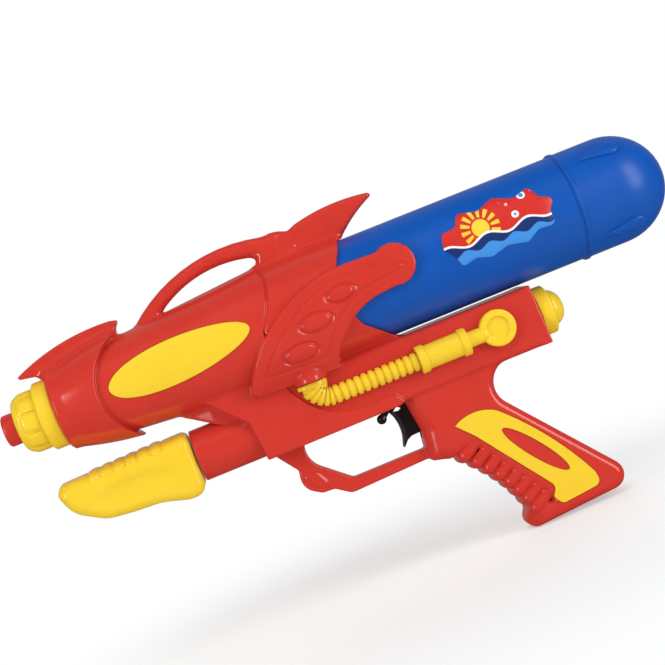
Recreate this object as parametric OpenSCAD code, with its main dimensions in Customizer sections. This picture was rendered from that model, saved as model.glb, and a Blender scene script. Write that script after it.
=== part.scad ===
// Toy water squirter: a hand pump under the barrel puts air in a tank that screws in behind it,
// and the trigger opens a valve between the tank and the nozzle.
// X runs from the muzzle to the rear, Z is up, and the origin is the nozzle outlet.
// The case is moulded in two halves that meet on the plane Y = 0.

/* [Overall] */
// Barrel length from the front edge of the case to the step in front of the tank
barrel_len = 142; // [118:0.5:172]
// Radius of the water tank
tank_r = 32.5; // [27:0.5:40]
// Length of the tank from its shoulder to the end of the dome
tank_len = 222; // [185:1:268]
// Length of the receiver behind the step in front of the tank
receiver_len = 143.5; // [138:0.5:174]

/* [Case] */
// Wall thickness of the case halves
wall = 2.2; // [1.6:0.1:2.8]
// Half width of the receiver at the seat of the hose
receiver_w = 17.5; // [17:0.5:24]
// How far the front pad of the receiver stands past the seat of the hose
pad_out = 2; // [1:0.5:4]
// Half width of the hand grip
grip_w = 15.5; // [12:0.5:19]
// Half width of the trigger guard
guard_w = 5; // [4.5:0.5:8]
// Half width of the carrying handle
handle_w = 5.2; // [4:0.2:8]
// Half width of the top fin
fin_w = 4.6; // [3:0.2:7]
// Radius of the barrel at the front edge of the case
barrel_front_r = 24.3; // [22:0.1:28]
// Height of the step from the barrel down to the cowl
barrel_step = 1.2; // [0.6:0.1:3]
// Radial gap between the tank and the case
tank_gap = 0.5; // [0.4:0.1:1.5]
// How far the side fins stand past the cowl
fin_out = 3.4; // [1:0.2:5]
// How far behind the mid plane the centre of a side fin's curve lies
fin_crown = 16; // [4:1:40]
// Bevel along the edges of the receiver
bevel = 3.5; // [1:0.5:4]
// Distance from the tank down to the top of the receiver
receiver_gap = 1.5; // [1:0.1:4]

/* [Nozzle] */
// Radius of the nozzle tip
tip_r = 9.6; // [8:0.1:11]
// How far the tip stands out of its nut
tip_out = 8.5; // [5:0.5:12]
// Radius of the outlet
outlet_r = 1.5; // [0.6:0.1:2.4]
// Length of the nozzle nut
nut_len = 25; // [22:0.5:30]
// Wall of the nut over its thread
nut_wall = 1.6; // [1.2:0.1:3]
// How far the collar of the nut stands past its ribbed front
collar_out = 2.4; // [1:0.1:4]
// Number of grip flats on the nut
nut_flats = 10; // [6:1:16]

/* [Threads] */
// Pitch of the nut's and the tank's thread
pitch = 4; // [3:0.5:6]
// Core radius of both male threads
thread_r = 15; // [12.5:0.1:18]
// Height of a thread ridge
ridge_h = 1.3; // [0.8:0.1:1.6]

/* [Pump] */
// Outer radius of the pump cylinder
pump_r = 15.6; // [13:0.1:18.8]
// Wall of the pump cylinder
pump_wall = 1.8; // [1.2:0.1:3]
// Radius of the pump rod
rod_r = 5; // [3.5:0.1:6]
// Stroke of the pump
stroke = 47; // [36:1:57]
// Half width of the pump grip
pump_grip_w = 17; // [15:0.5:20]

/* [Trigger and valve] */
// Half width of the trigger
trigger_w = 3.2; // [2.4:0.1:4]
// Radius of the trigger pin
pin_r = 2; // [1.5:0.1:2.5]
// Height of the trigger's cam above the pin
cam_h = 12; // [10:0.5:13]
// Radius of the valve stem
stem_r = 3; // [2:0.1:3.6]
// Turns of the valve spring
spring_turns = 3; // [2:1:4]
// Wire radius of the valve spring
wire_r = 0.4; // [0.3:0.05:0.45]

/* [Hose] */
// Radius of the hose over its ribs
hose_r = 5.4; // [4.5:0.1:6.5]
// Height of a rib
rib_h = 0.8; // [0.4:0.1:1.2]
// Number of ribs on the straight stretch
straight_ribs = 12; // [8:1:16]
// Number of ribs in the bend
bend_ribs = 6; // [4:1:9]
// Radius of the hose coupling
coupling_r = 7.3; // [7:0.1:9.5]
// Radius of the ring at the coupling's end
ring_r = 11; // [9:0.5:13]

/* [Fasteners] */
// Shank radius of the case screws
screw_r = 1.15; // [0.9:0.05:1.5]
// Head radius of the case screws
head_r = 2.7; // [2:0.1:3.2]
// Radius of the screw bosses
boss_r = 4.1; // [3.6:0.1:5]

/* [Hidden] */
cowl_r = tank_r + tank_gap + wall;
barrel_rear_r = cowl_r + barrel_step;
x_case = tip_out + nut_len;
x_rear = x_case + barrel_len;
slope = (barrel_rear_r - barrel_front_r) / barrel_len;
z_rec = -(tank_r + receiver_gap);
fin_y = cowl_r + fin_out;
pump_bore = pump_r - pump_wall;
v_pump = -6.6 - 2 * pump_r;
z_pump = z_rec - pump_r - 5.8;
z_plug = z_rec - 18.4;
z_valve = z_rec - 18;
x_tank = x_rear + 24;
x_dome = x_tank + tank_len;
pin_at = [50, -30];
bore_r = thread_r + ridge_h + 0.5;
flange_r = bore_r + 2.7;
nut_r = bore_r + nut_wall;
nut_collar_r = nut_r + collar_out;
line_r = 3;
barb_r = 1.9;
valve_r = 8;
water_y = -5.8;
feed_y = 3.4;
port_water = [5.5, -5];
port_air = [-4, 8];
insert_out = 0.5;
insert_in = 1.1;
insert_fit = 0.3;
red = [0.80, 0.12, 0.10];
yellow = [0.98, 0.80, 0.10];
blue = [0.05, 0.30, 0.75];
white = [0.92, 0.92, 0.90];
rubber = [0.10, 0.10, 0.10];
steel = [0.72, 0.72, 0.74];
far = 500;
$fn = 64;

// Outlines
function wrap(t) = t < 0 ? wrap(t + 360) : t >= 360 ? wrap(t - 360) : t;
function unit(p) = p / norm(p);
function arc_through(a, b, c, n = 10) =
    let (d = 2 * (a.x * (b.y - c.y) + b.x * (c.y - a.y) + c.x * (a.y - b.y)))
    let (ox = ((a * a) * (b.y - c.y) + (b * b) * (c.y - a.y) + (c * c) * (a.y - b.y)) / d)
    let (oy = ((a * a) * (c.x - b.x) + (b * b) * (a.x - c.x) + (c * c) * (b.x - a.x)) / d)
    let (o = [ox, oy], r = norm(a - o))
    let (t0 = atan2(a.y - oy, a.x - ox), t2 = atan2(c.y - oy, c.x - ox))
    let (turn = cross(b - a, c - b) > 0 ? wrap(t2 - t0) : -wrap(t0 - t2))
    [for (i = [0 : n]) o + r * [cos(t0 + turn * i / n), sin(t0 + turn * i / n)]];
function corner(a, b, c, n) = b[2] == 0 ? [[b.x, b.y]] :
    let (p = [b.x, b.y], u = unit([a.x, a.y] - p), v = unit([c.x, c.y] - p))
    let (half = acos(u * v) / 2, o = p + unit(u + v) * b[2] / sin(half))
    let (s = p + u * b[2] / tan(half) - o, e = p + v * b[2] / tan(half) - o)
    let (t0 = atan2(s.y, s.x), turn = (atan2(e.y, e.x) - t0 + 540) % 360 - 180)
    [for (i = [0 : n]) o + b[2] * [cos(t0 + turn * i / n), sin(t0 + turn * i / n)]];
function rounded(p, n = 5) = [for (i = [0 : len(p) - 1])
    each corner(p[(i + len(p) - 1) % len(p)], p[i], p[(i + 1) % len(p)], n)];

// A turned piece on the X axis, drawn as [radius, x]
module turned() {
    rotate([0, 90, 0]) rotate_extrude() children();
}
// A plate in the plane of symmetry with the outline of its children, drawn as [x, z]
module slab(half) {
    rotate([90, 0, 0]) linear_extrude(height = 2 * half, center = true) children();
}
// A plate from y0 out to y1 on the left side
module plate(y0, y1) {
    translate([0, -y0, 0]) rotate([90, 0, 0]) linear_extrude(height = y1 - y0) children();
}
module rod_x(x0, x1, r, y = 0, z = 0) {
    translate([x0, y, z]) rotate([0, 90, 0]) cylinder(h = x1 - x0, r = r);
}
module rod_y(y0, y1, r, x, z) {
    translate([x, y1, z]) rotate([90, 0, 0]) cylinder(h = y1 - y0, r = r);
}
module body_frame() {
    translate([x_rear, 0, z_rec]) children();
}

// Case: outside
barrel_cut = concat([[-far, -60], [-far, 60], [-5, 60], [-4.5, cowl_r - 2]],
    arc_through([-3, 28], [-6, 15], [-14, -1]), [[-14, -60]]);
module barrel() {
    intersection() {
        turned() polygon([[0, x_case + 1.5], [barrel_front_r + 1.5 * slope, x_case + 1.5],
            [barrel_rear_r, x_rear], [0, x_rear]]);
        translate([x_rear, 0, 0]) slab(far) polygon(barrel_cut);
    }
}
shroud_cut = concat([[-1, 60]], arc_through([46, 30], [27, 0], [42.5, -31.5]), [[42, -60], [-1, -60]]);
crest_z = barrel_front_r + 12.3;
ridge_top = concat(arc_through([-14.5, nut_collar_r + 6.4], [16, crest_z], [47, crest_z + 1.6]),
    [[51, crest_z + 0.6], [50.5, crest_z - 1.2], [43, crest_z - 9.6]]);
ridge_under = [[40, crest_z - 20.6], [2, crest_z - 20.6], [1, nut_collar_r + 0.2], [-5, nut_collar_r + 3],
    [-14, nut_collar_r + 4.6]];
shroud_swell = [[0, -1.2], [8, 1.2], [16, 3.4], [24, 5.3], [32, 6.7], [40, 7.6], [46, 7.9]];
module shroud() {
    intersection() {
        turned() polygon(concat([[0, x_case]], [for (s = shroud_swell) [barrel_front_r + s[1], x_case + s[0]]],
            [[0, x_case + 46]]));
        translate([x_case, 0, 0]) slab(far) polygon(shroud_cut);
    }
    translate([x_case, 0, 0]) slab(6) polygon(concat(ridge_top, ridge_under));
}
cowl_cut = concat([[-30, -60], [-30, 60], [49, 60], [47, cowl_r - 2]],
    arc_through([44, 26], [36, 3], [42, -19]), [[62, -cowl_r], [62, -60]]);
module cowl() {
    intersection() {
        turned() polygon([[0, x_rear - 15], [cowl_r, x_rear - 15], [cowl_r, x_rear + 70], [0, x_rear + 70]]);
        translate([x_rear, 0, 0]) slab(far) polygon(cowl_cut);
    }
}
handle_out = arc_through([-83, -6], [-23, 18.8], [14, 14]);
handle_in = arc_through([-0.5, 6], [-23, 9.6], [-65, -4]);
module handle() {
    translate([x_rear, 0, cowl_r]) slab(handle_w)
        polygon(concat([[-70, -14], [-82, -13]], handle_out, [[12, -4], [2, -5]], handle_in));
}
fin_top = concat([[-5, -8], [-4, -1], [3, 9.5], [12, 15.4], [18, 15.2], [22, 13.8]],
    arc_through([28, 16], [52, 19.2], [75, 17.6]), [[76.5, 16.2]], arc_through([76, 15], [61, 6.5], [45, -8]));
module top_fin() {
    translate([x_rear, 0, cowl_r]) slab(fin_w) polygon(fin_top);
}
fin_side = concat(arc_through([-33.7, -32.4], [-8.9, 0], [43.6, 18.1]),
    arc_through([62.7, 17.4], [82.7, 6.2], [66, -4.6], 8),
    arc_through([53, -6], [33.5, -15.5], [19.3, -37.3], 8));
module side_fins() {
    intersection() {
        translate([x_rear, 0, 0]) slab(far) polygon(concat(fin_side, [[-30, z_rec - 2]]));
        rod_x(x_rear - 60, x_rear + 120, fin_y + fin_crown, fin_crown, 0);
        rod_x(x_rear - 60, x_rear + 120, fin_y + fin_crown, -fin_crown, 0);
    }
}
receiver_out = [[-60, 8], [-40.8, -14], [-38.4, v_pump], [-18, v_pump], [-17.5, -37.7], [46, -37.4],
    [50, -36.4], [receiver_len, -36.6], [receiver_len - 1.2, 0], [22, 0], [14, 9]];
pad_out_line = concat([[-60, 7], [-40.8, -14], [-38.4, v_pump], [-18, v_pump], [-17.5, -37.7], [45, -37.4],
    [49, -35.5], [45, -30]], arc_through([21, -29.7], [3, -23], [-13.3, -1.8]), [[-14, 7]]);
v_low = min(v_pump, -37.8) - 1.2;
module receiver() {
    intersection() {
        body_frame() slab(receiver_w) polygon(receiver_out);
        body_frame() translate([-62, 0, 0]) rotate([90, 0, 90]) linear_extrude(height = receiver_len + 70)
            polygon([[-receiver_w, -36.4 + bevel], [bevel - receiver_w, v_low], [receiver_w - bevel, v_low],
                [receiver_w, -36.4 + bevel], [receiver_w, -bevel], [receiver_w - bevel - 0.2, 0.2],
                [receiver_w - bevel - 0.2, 12], [bevel + 0.2 - receiver_w, 12],
                [bevel + 0.2 - receiver_w, 0.2], [-receiver_w, -bevel]]);
    }
    body_frame() slab(receiver_w + pad_out) polygon(pad_out_line);
    body_frame() slab(11) polygon([[-77, 6], [-75, 2.5], [-60, -7], [-36, -22], [-36, 6]]);
}
grip_back = concat(rounded([[91, -132, 0], [90.6, -136.6, 2.5], [165.5, -131.2, 11], [110.5, -65.7, 0]]),
    arc_through([105.5, -60.2], [102.4, -46], [113.5, -36.4]));
grip_front = rounded([[113, -20, 0], [46, -20, 0], [52, -57, 12], [50, -76, 4], [62, -79, 2], [68, -81.5, 0]]);
module grip() {
    body_frame() slab(grip_w) polygon(concat(slice(grip_back), grip_front, [[97, -127]]));
    for (i = [0 : 7])
        body_frame() rod_y(-grip_w + 2, grip_w - 2, 4.4, 68.5 + 4.03 * i, -83.5 - 6.25 * i);
}
function slice(p) = [for (i = [1 : len(p) - 1]) p[i]];
guard_out = rounded([[-37, -30, 0], [-25.6, -52.5, 2], [-24.6, -60, 4], [-17, -68.6, 6], [-9.5, -69.5, 2],
    [1, -76, 6], [56, -74.5, 0], [60, -30, 0]]);
guard_in = rounded([[-15.8, -38, 5], [-16.5, -46, 4], [6.5, -69, 3], [58, -68.4, 0], [58, -37.7, 0]]);
module guard() {
    body_frame() difference() {
        slab(guard_w) polygon(guard_out);
        slab(guard_w + 1) polygon(guard_in);
    }
}
module port() {
    body_frame() for (s = [-1, 1]) translate([1.7, s * (receiver_w + 2), -3.9]) cylinder(h = 8, r = 9);
}

// Case: inside
grip_in = rounded([[100, -28, 0], [56, -28, 0], [56, -60, 6], [54, -72, 3], [70, -79, 3], [97, -122, 2],
    [98, -132, 2], [152, -128, 8], [99, -60, 10]]);
slot = [[27, -25], [66, -25], [66, -66], [43, -66], [27, -42]];
screws = [[15 - barrel_len, -16, 1, 18], [-57, 24, 1, 18], [-50, -22, 1, 22], [16, 10, 0, fin_w - 0.8],
    [70, -31.5, 2, receiver_w - 3.5 + wall], [126, -31.5, 2, receiver_w - 3.5 + wall], [84, -53, 2, grip_w - 1],
    [107, -130, 2, grip_w - 1]];
function screw_at(s) = s[2] == 2 ? [x_rear + s[0], z_rec + s[1]] :
    s[2] == 0 ? [x_rear + s[0], cowl_r + s[1]] : [x_rear + s[0], s[1]];
module hollow() {
    turned() polygon([[0, x_case - 1], [bore_r - 0.2, x_case - 1], [bore_r - 0.2, x_case + 3],
        [flange_r + 0.1, x_case + 3], [flange_r + 0.1, x_case + 6.1], [13, x_case + 6.1], [13, x_case + 9],
        [barrel_front_r - wall + 9 * slope, x_case + 9], [barrel_rear_r - wall - 5 * slope, x_rear - 5],
        [tank_r - 3.5, x_rear - 5], [tank_r - 3.5, x_rear + 2], [tank_r + 1.3, x_rear + 2],
        [tank_r + 1.3, x_rear + 6.1], [tank_r + tank_gap, x_rear + 6.1], [tank_r + tank_gap, x_dome + 50],
        [0, x_dome + 50]]);
    rod_x(x_rear - 85, x_rear - 3, pump_r + 0.05, 0, z_pump);
    rod_x(x_rear - 20.1, x_rear - 16.9, pump_r + 0.65, 0, z_pump);
    body_frame() slab(receiver_w - wall) polygon([[-5, -2.8], [receiver_len - 5, -2.8],
        [receiver_len - 5, -34.2], [-5, -34.2]]);
    body_frame() slab(13) polygon([[-30, -8], [1, -8], [1, 1.5], [-4, 1.5], [-4, 18], [-30, 18]]);
    body_frame() slab(grip_w - wall - 0.4) polygon(grip_in);
    body_frame() slab(trigger_w + 0.4) polygon(slot);
    rod_x(x_rear + receiver_len - 8, x_rear + receiver_len + 5, 13.9, 0, z_plug);
    for (s = [-1, 1]) {
        intersection() {
            insert_zone(insert_fit, s);
            turned() polygon([[ring_at(-115) - insert_in - insert_fit, x_rear - 115], [60, x_rear - 115],
                [60, x_rear - 15], [ring_at(-15) - insert_in - insert_fit, x_rear - 15]]);
        }
        scale([1, s, 1]) pockets();
    }
}
function ring_at(u) = barrel_rear_r + slope * u;
module pockets() {
    difference() {
        body_frame() plate(grip_w - 1.3, grip_w + 9) polygon(grip_insert_line(insert_fit));
        body_frame() plate(grip_w - 2, grip_w + 10) polygon(grip_eye(-insert_fit));
    }
    body_frame() for (p = pegs) rod_y(-receiver_w - 3, -receiver_w + 2.4, 2.05, p.x, p.y);
}
pegs = [[31, -16.7], [58, -16.7], [81, -16.7], [115, -16.2]];
module ribs() {
    difference() {
        translate([x_rear + 22.7, -receiver_w + wall - 0.5, z_rec - 35])
            cube([2.5, 2 * (receiver_w - wall) + 1, 35 - 16]);
        rod_x(x_rear, x_rear + 50, valve_r + 0.05, 0, z_valve);
    }
    for (s = [-1, 1]) scale([1, s, 1])
        body_frame() rod_y(-receiver_w + 1, -trigger_w - 0.4, 4.5, pin_at.x, pin_at.y);
}
module bosses() {
    for (s = screws) let (p = screw_at(s)) rod_y(-s[3], s[3], boss_r, p.x, p.y);
}
module case_body() {
    difference() {
        union() {
            barrel();
            shroud();
            cowl();
            handle();
            top_fin();
            side_fins();
            receiver();
            grip();
            guard();
            port();
        }
        hollow();
    }
    intersection() {
        union() {
            ribs();
            bosses();
        }
        union() {
            body_frame() slab(receiver_w - 0.5) polygon(receiver_out);
            body_frame() slab(grip_w - 0.5) polygon(concat(slice(grip_back), grip_front, [[97, -127]]));
            turned() polygon([[0, x_case + 2], [barrel_front_r - 0.5, x_case + 2],
                [barrel_rear_r - 0.6, x_rear - 3], [0, x_rear - 3]]);
            translate([x_rear, 0, cowl_r]) slab(fin_w - 0.3) polygon(fin_top);
        }
    }
}
module pin_hole() {
    body_frame() rod_y(-12.05, 12.05, pin_r + 0.03, pin_at.x, pin_at.y);
}
module left_shell() {
    color(red) difference() {
        case_body();
        translate([-far / 2, 0, -far]) cube(2 * far);
        pin_hole();
        for (s = screws) let (p = screw_at(s)) rod_y(-min(10, s[3]), 1, screw_r + 0.05, p.x, p.y);
    }
}
module right_shell() {
    color(red) difference() {
        case_body();
        translate([-far / 2, -2 * far, -far]) cube(2 * far);
        pin_hole();
        for (s = screws) let (p = screw_at(s)) {
            rod_y(-1, 4, screw_r + 0.25, p.x, p.y);
            rod_y(2.6, far, head_r + 0.3, p.x, p.y);
        }
    }
}
module case_screws() {
    color(steel) for (s = screws) let (p = screw_at(s)) {
        rod_y(-min(9, s[3] - 1), 3, screw_r, p.x, p.y);
        rod_y(2.6, 4.4, head_r, p.x, p.y);
    }
}

// Yellow pieces let into the case
function insert_line(grow) = [for (i = [0 : 35]) let (t = 10 * i, c = cos(t), s = sin(t))
    [-64 + (43.8 + grow) * c, 2.6 + 2.1 * c + (12.8 + grow) * s * (1 - 0.12 * c)]];
module insert_zone(grow, side) {
    translate([x_rear, side * 25, 0]) slab(20) polygon(insert_line(grow));
}
module barrel_insert(side) {
    color(yellow) intersection() {
        insert_zone(0, side);
        turned() polygon([[ring_at(-115) - insert_in, x_rear - 115], [ring_at(-115) + insert_out, x_rear - 115],
            [ring_at(-15) + insert_out, x_rear - 15], [ring_at(-15) - insert_in, x_rear - 15]]);
    }
}
module barrel_insert_left() {
    barrel_insert(-1);
}
module barrel_insert_right() {
    barrel_insert(1);
}
function grip_insert_line(grow) = rounded([[70.5 - grow, -60.6 + grow, 1], [79, -58 + grow, 8],
    [94, -57.6 + grow, 9], [101 + grow, -66, 5], [137.5 + grow, -114, 8], [140.5 + grow, -125 - grow, 4],
    [112, -127.8 - grow, 3], [109.8 - grow, -122, 2], [113 - grow, -117.5, 4], [108.5 - grow, -108.5 - grow, 4],
    [98 - grow, -94, 0]]);
function grip_eye(grow) = [for (i = [0 : 29])
    let (t = 12 * i, a = (24 + grow) * cos(t), b = (5.4 + grow) * sin(t))
    [110.2 + 0.602 * a + 0.799 * b, -91.4 - 0.799 * a + 0.602 * b]];
module grip_insert() {
    color(yellow) body_frame() difference() {
        plate(grip_w - 1.3, grip_w + 0.5) polygon(grip_insert_line(0));
        plate(grip_w - 2, grip_w + 2) polygon(grip_eye(0));
    }
}
module grip_insert_left() {
    grip_insert();
}
module grip_insert_right() {
    mirror([0, 1, 0]) grip_insert();
}

// Ribbed hose: a half-round moulding, open at the back, swept down and round to the coupling
hose_in = 1.4;
hose_knee = [10.9, -8.3];
function hose_rise(k) = k % 4 == 1 || k % 4 == 2 ? rib_h : 0;
function hose_rings() = concat(
    [for (k = [0 : 4 * bend_ribs - 1]) let (t = k / (4 * bend_ribs), f = pow(1 - t, 2), a = 180 + 90 * t)
        [hose_knee.x + (8.4 + 1.6 * f) * cos(a), hose_knee.y + (8.4 + 1.6 * f) * sin(a), a,
            hose_r + 2.6 * f, k]],
    [for (k = [0 : 4 * straight_ribs]) let (t = k / (4 * straight_ribs))
        [hose_knee.x + t * (64.2 - hose_knee.x), -16.7, 270, hose_r, k]]);
function hose_section(w) = [for (i = [0 : 6]) let (t = -104 + 208 * i / 6) [w * sin(t), w * cos(t)]];
module hose() {
    rings = hose_rings();
    lift = hose_r * 0.242;
    points = [for (g = rings) let (w = g[3] - rib_h + hose_rise(g[4]), q = 1 - hose_in / (g[3] - rib_h))
        each concat([for (p = hose_section(1)) [g[0] + w * p.x * cos(g[2]),
                -receiver_w - max(0, lift + hose_r * p.y * w / g[3]), g[1] + w * p.x * sin(g[2])]],
            [for (i = [0 : 6]) let (p = hose_section(1)[6 - i], m = q * (g[3] - rib_h))
                [g[0] + m * p.x * cos(g[2]), -receiver_w - max(0, lift + (hose_r - rib_h - hose_in) * p.y),
                    g[1] + m * p.x * sin(g[2])]])];
    n = len(rings);
    sides = [for (i = [0 : n - 2]) for (k = [0 : 13]) let (a = 14 * i + k, b = 14 * i + (k + 1) % 14)
        each [[a, a + 14, b], [b, a + 14, b + 14]]];
    ends = [for (k = [0 : 5]) each [[k, k + 1, 13 - k], [k + 1, 12 - k, 13 - k]]];
    last = 14 * (n - 1);
    caps = concat(ends, [for (f = ends) [last + f[2], last + f[1], last + f[0]]]);
    body_frame() polyhedron(points, concat(sides, caps), convexity = 8);
}
module hose_pegs(list) {
    body_frame() for (p = list) rod_y(-receiver_w - hose_r, -receiver_w + 2.2, 2, p.x, p.y);
}
module hose_left() {
    color(yellow) {
        hose();
        hose_pegs([pegs[0], pegs[1]]);
    }
}
module hose_right() {
    mirror([0, 1, 0]) hose_left();
}
module coupling() {
    color(yellow) {
        difference() {
            union() {
                body_frame() rod_x(64.4, 69.3, coupling_r + 1.1, -receiver_w - 1.3, -16.7);
                body_frame() rod_x(69.1, 91.4, coupling_r, -receiver_w - 1.3, -16.7);
                body_frame() rod_x(91.2, 96, coupling_r + 1.1, -receiver_w - 1.3, -16.7);
                body_frame() rod_x(95.8, 109, 4.8, -receiver_w - 1.3, -16.7);
                body_frame() rod_y(-receiver_w - 5, -receiver_w + 1, ring_r, 115, -16.2);
            }
            translate([-far / 2, -receiver_w, -far]) cube(2 * far);
            body_frame() rod_y(-receiver_w - 7, -receiver_w - 3.6, ring_r - 4.2, 115, -16.2);
            body_frame() rod_x(71.5, 89, coupling_r - 1.8, -receiver_w - 1.3, -16.7);
        }
        body_frame() rod_y(-receiver_w - coupling_r, -receiver_w + 2.2, 2, pegs[2].x, pegs[2].y);
        body_frame() rod_y(-receiver_w - 3, -receiver_w + 2.2, 2, pegs[3].x, pegs[3].y);
    }
}
module hose_coupling_left() {
    coupling();
}
module hose_coupling_right() {
    mirror([0, 1, 0]) coupling();
}
module rear_plug() {
    x = x_rear + receiver_len;
    dome = arc_through([10.9, x + 9.6], [8.6, x + 14], [0.01, x + 16.4]);
    color(yellow) translate([0, 0, z_plug]) turned() difference() {
        polygon(concat([[0, x - 9], [14.4, x - 9], [14.4, x - 5.1], [13.8, x - 5.1], [13.8, x + 0.2],
            [15, x + 0.2], [15, x + 7.6], [13.8, x + 9.2], [11.6, x + 9.4]], dome, [[0, x + 16.4]]));
        polygon([[0, x - 10], [12, x - 10], [12, x + 6.5], [9.5, x + 12], [0, x + 13.5]]);
    }
}

// Helical ridge round the X axis
module ridge(base_r, tip_r, turns, steps = 20) {
    n = ceil(turns * steps);
    section = [[base_r, -0.95], [tip_r, -0.4], [tip_r, 0.4], [base_r, 0.95]];
    points = [for (i = [0 : n]) let (t = 360 * i / steps)
        for (s = section) [s[1] + pitch * i / steps, s[0] * cos(t), s[0] * sin(t)]];
    inward = tip_r < base_r;
    quads = [for (i = [0 : n - 1]) for (k = [0 : 3]) let (a = 4 * i + k, b = 4 * i + (k + 1) % 4)
        each inward ? [[a, a + 4, b], [b, a + 4, b + 4]] : [[a, b, a + 4], [b, b + 4, a + 4]]];
    ends = [[0, 1, 2], [0, 2, 3], [4 * n + 2, 4 * n + 1, 4 * n], [4 * n + 3, 4 * n + 2, 4 * n]];
    polyhedron(points, concat(quads, [for (f = ends) inward ? f : [f[2], f[1], f[0]]]), convexity = 6);
}

// Nozzle
module nozzle_spigot() {
    x = x_case;
    color(white) {
        difference() {
            turned() polygon([[0, x - 15.2], [thread_r, x - 15.2], [thread_r, x + 3.1], [flange_r, x + 3.1],
                [flange_r, x + 6], [5, x + 6], [barb_r, x + 8], [barb_r, x + 19], [0, x + 19]]);
            rod_x(x - 20, x + 25, 1.1);
            turned() polygon([[5, x - 11], [thread_r - 2.5, x - 11], [thread_r - 2.5, x + 0.5], [5, x + 0.5]]);
        }
        translate([x - 13, 0, 0]) ridge(thread_r - 0.4, thread_r + ridge_h, 2);
    }
}
module nozzle_washer() {
    color(rubber) turned() polygon([[2.5, x_case - 17.4], [thread_r - 1.2, x_case - 17.4],
        [thread_r - 1.2, x_case - 15.25], [2.5, x_case - 15.25]]);
}
module nozzle_tip() {
    front = arc_through([tip_r - 1.8, 0], [tip_r - 0.5, 0.5], [tip_r, 1.8], 5);
    color(red) turned() polygon(concat([[outlet_r, x_case - 17.5], [outlet_r, 0]], front,
        [[tip_r, tip_out + 3.8], [thread_r - 1.2, tip_out + 3.8], [thread_r - 1.2, x_case - 17.5]]));
}
module nozzle_nut() {
    nose = arc_through([nut_r - 6, tip_out], [nut_r - 2, tip_out + 1.4], [nut_r, tip_out + 5], 6);
    color(yellow) {
        difference() {
            turned() polygon(concat([[tip_r + 0.15, tip_out + 3.6], [tip_r + 0.15, tip_out]], nose,
                [[nut_r, x_case - 10], [nut_collar_r - 1.2, x_case - 10], [nut_collar_r, x_case - 8.8],
                [nut_collar_r, x_case - 1.4], [nut_collar_r - 1.2, x_case - 0.2], [bore_r, x_case - 0.2],
                [bore_r, tip_out + 8], [thread_r - 0.8, tip_out + 8], [thread_r - 0.8, tip_out + 3.6]]));
            for (i = [0 : nut_flats - 1]) rotate([360 / nut_flats * i, 0, 0])
                translate([tip_out + 3.5, -0.6, nut_r - 0.7]) cube([nut_len - 13.6, 1.2, 3]);
        }
        translate([x_case - 11, 0, 0]) ridge(bore_r + 0.4, bore_r - ridge_h, 2);
    }
}

// Lines: a soft tube through the points of a route
function route_point(p, t) = let (i = min(floor(t), len(p) - 2), f = t - i)
    let (a = p[max(0, i - 1)], b = p[i], c = p[i + 1], d = p[min(len(p) - 1, i + 2)])
    0.5 * (2 * b + (c - a) * f + (2 * a - 5 * b + 4 * c - d) * f * f + (3 * b - a - 3 * c + d) * f * f * f);
module line(p, steps = 5) {
    n = (len(p) - 1) * steps;
    mid = [for (i = [0 : n]) route_point(p, i / steps)];
    dir = [for (i = [0 : n]) unit(mid[min(n, i + 1)] - mid[max(0, i - 1)])];
    points = [for (i = [0 : n]) let (e = unit(cross(dir[i], [0.2, 1, 0.1])), f = cross(dir[i], e))
        for (k = [0 : 15]) let (r = k < 8 ? line_r : barb_r + 0.15, a = 45 * k)
            mid[i] + r * (cos(a) * e + sin(a) * f)];
    outer = [for (i = [0 : n - 1]) for (k = [0 : 7]) let (a = 16 * i + k, b = 16 * i + (k + 1) % 8)
        each [[a, b, a + 16], [b, b + 16, a + 16]]];
    inner = [for (i = [0 : n - 1]) for (k = [0 : 7]) let (a = 16 * i + 8 + k, b = 16 * i + 8 + (k + 1) % 8)
        each [[a, a + 16, b], [b, a + 16, b + 16]]];
    ends = [for (k = [0 : 7]) let (b = (k + 1) % 8) each [[k, 8 + k, b], [b, 8 + k, 8 + b]]];
    far_end = [for (f = ends) [16 * n + f[0], 16 * n + f[2], 16 * n + f[1]]];
    polyhedron(points, concat(outer, inner, ends, far_end), convexity = 8);
}
module water_line() {
    color(white) line([[x_case + 9, 0, 0], [x_case + 21, 0, 0], [x_case + 30, 0, 0], [x_case + 60, 0, -3],
        [x_rear - 50, -1, -5], [x_rear - 26, -5, -12], [x_rear - 16, -8, -24], [x_rear - 9, -9.5, z_rec + 1.5],
        [x_rear - 2, -9.5, z_rec - 3.5], [x_rear + 3, -8, z_rec - 10], [x_rear + 8, water_y, z_valve],
        [x_rear + 12, water_y, z_valve], [x_rear + 19.6, water_y, z_valve]]);
}
module feed_line() {
    color(white) line([[x_rear + 1.8, port_water.x, port_water.y], [x_rear - 6, port_water.x, port_water.y],
        [x_rear - 10, port_water.x, port_water.y], [x_rear - 17, 7, -11], [x_rear - 16, 8.5, -22],
        [x_rear - 9, 9.5, z_rec + 1.5], [x_rear - 2, 9.5, z_rec - 3.5], [x_rear + 3, 7, z_rec - 10],
        [x_rear + 8, feed_y, z_valve], [x_rear + 12, feed_y, z_valve], [x_rear + 19.6, feed_y, z_valve]]);
}
module air_line() {
    color(white) line([[x_rear - 9, 0, z_rec + 3.2], [x_rear - 9, 0, z_rec + 7], [x_rear - 9, 0, z_rec + 10],
        [x_rear - 12, -1, -14], [x_rear - 17, -2, -2], [x_rear - 15, port_air.x, 6],
        [x_rear - 10, port_air.x, port_air.y], [x_rear - 6, port_air.x, port_air.y],
        [x_rear + 1.8, port_air.x, port_air.y]]);
}

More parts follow.
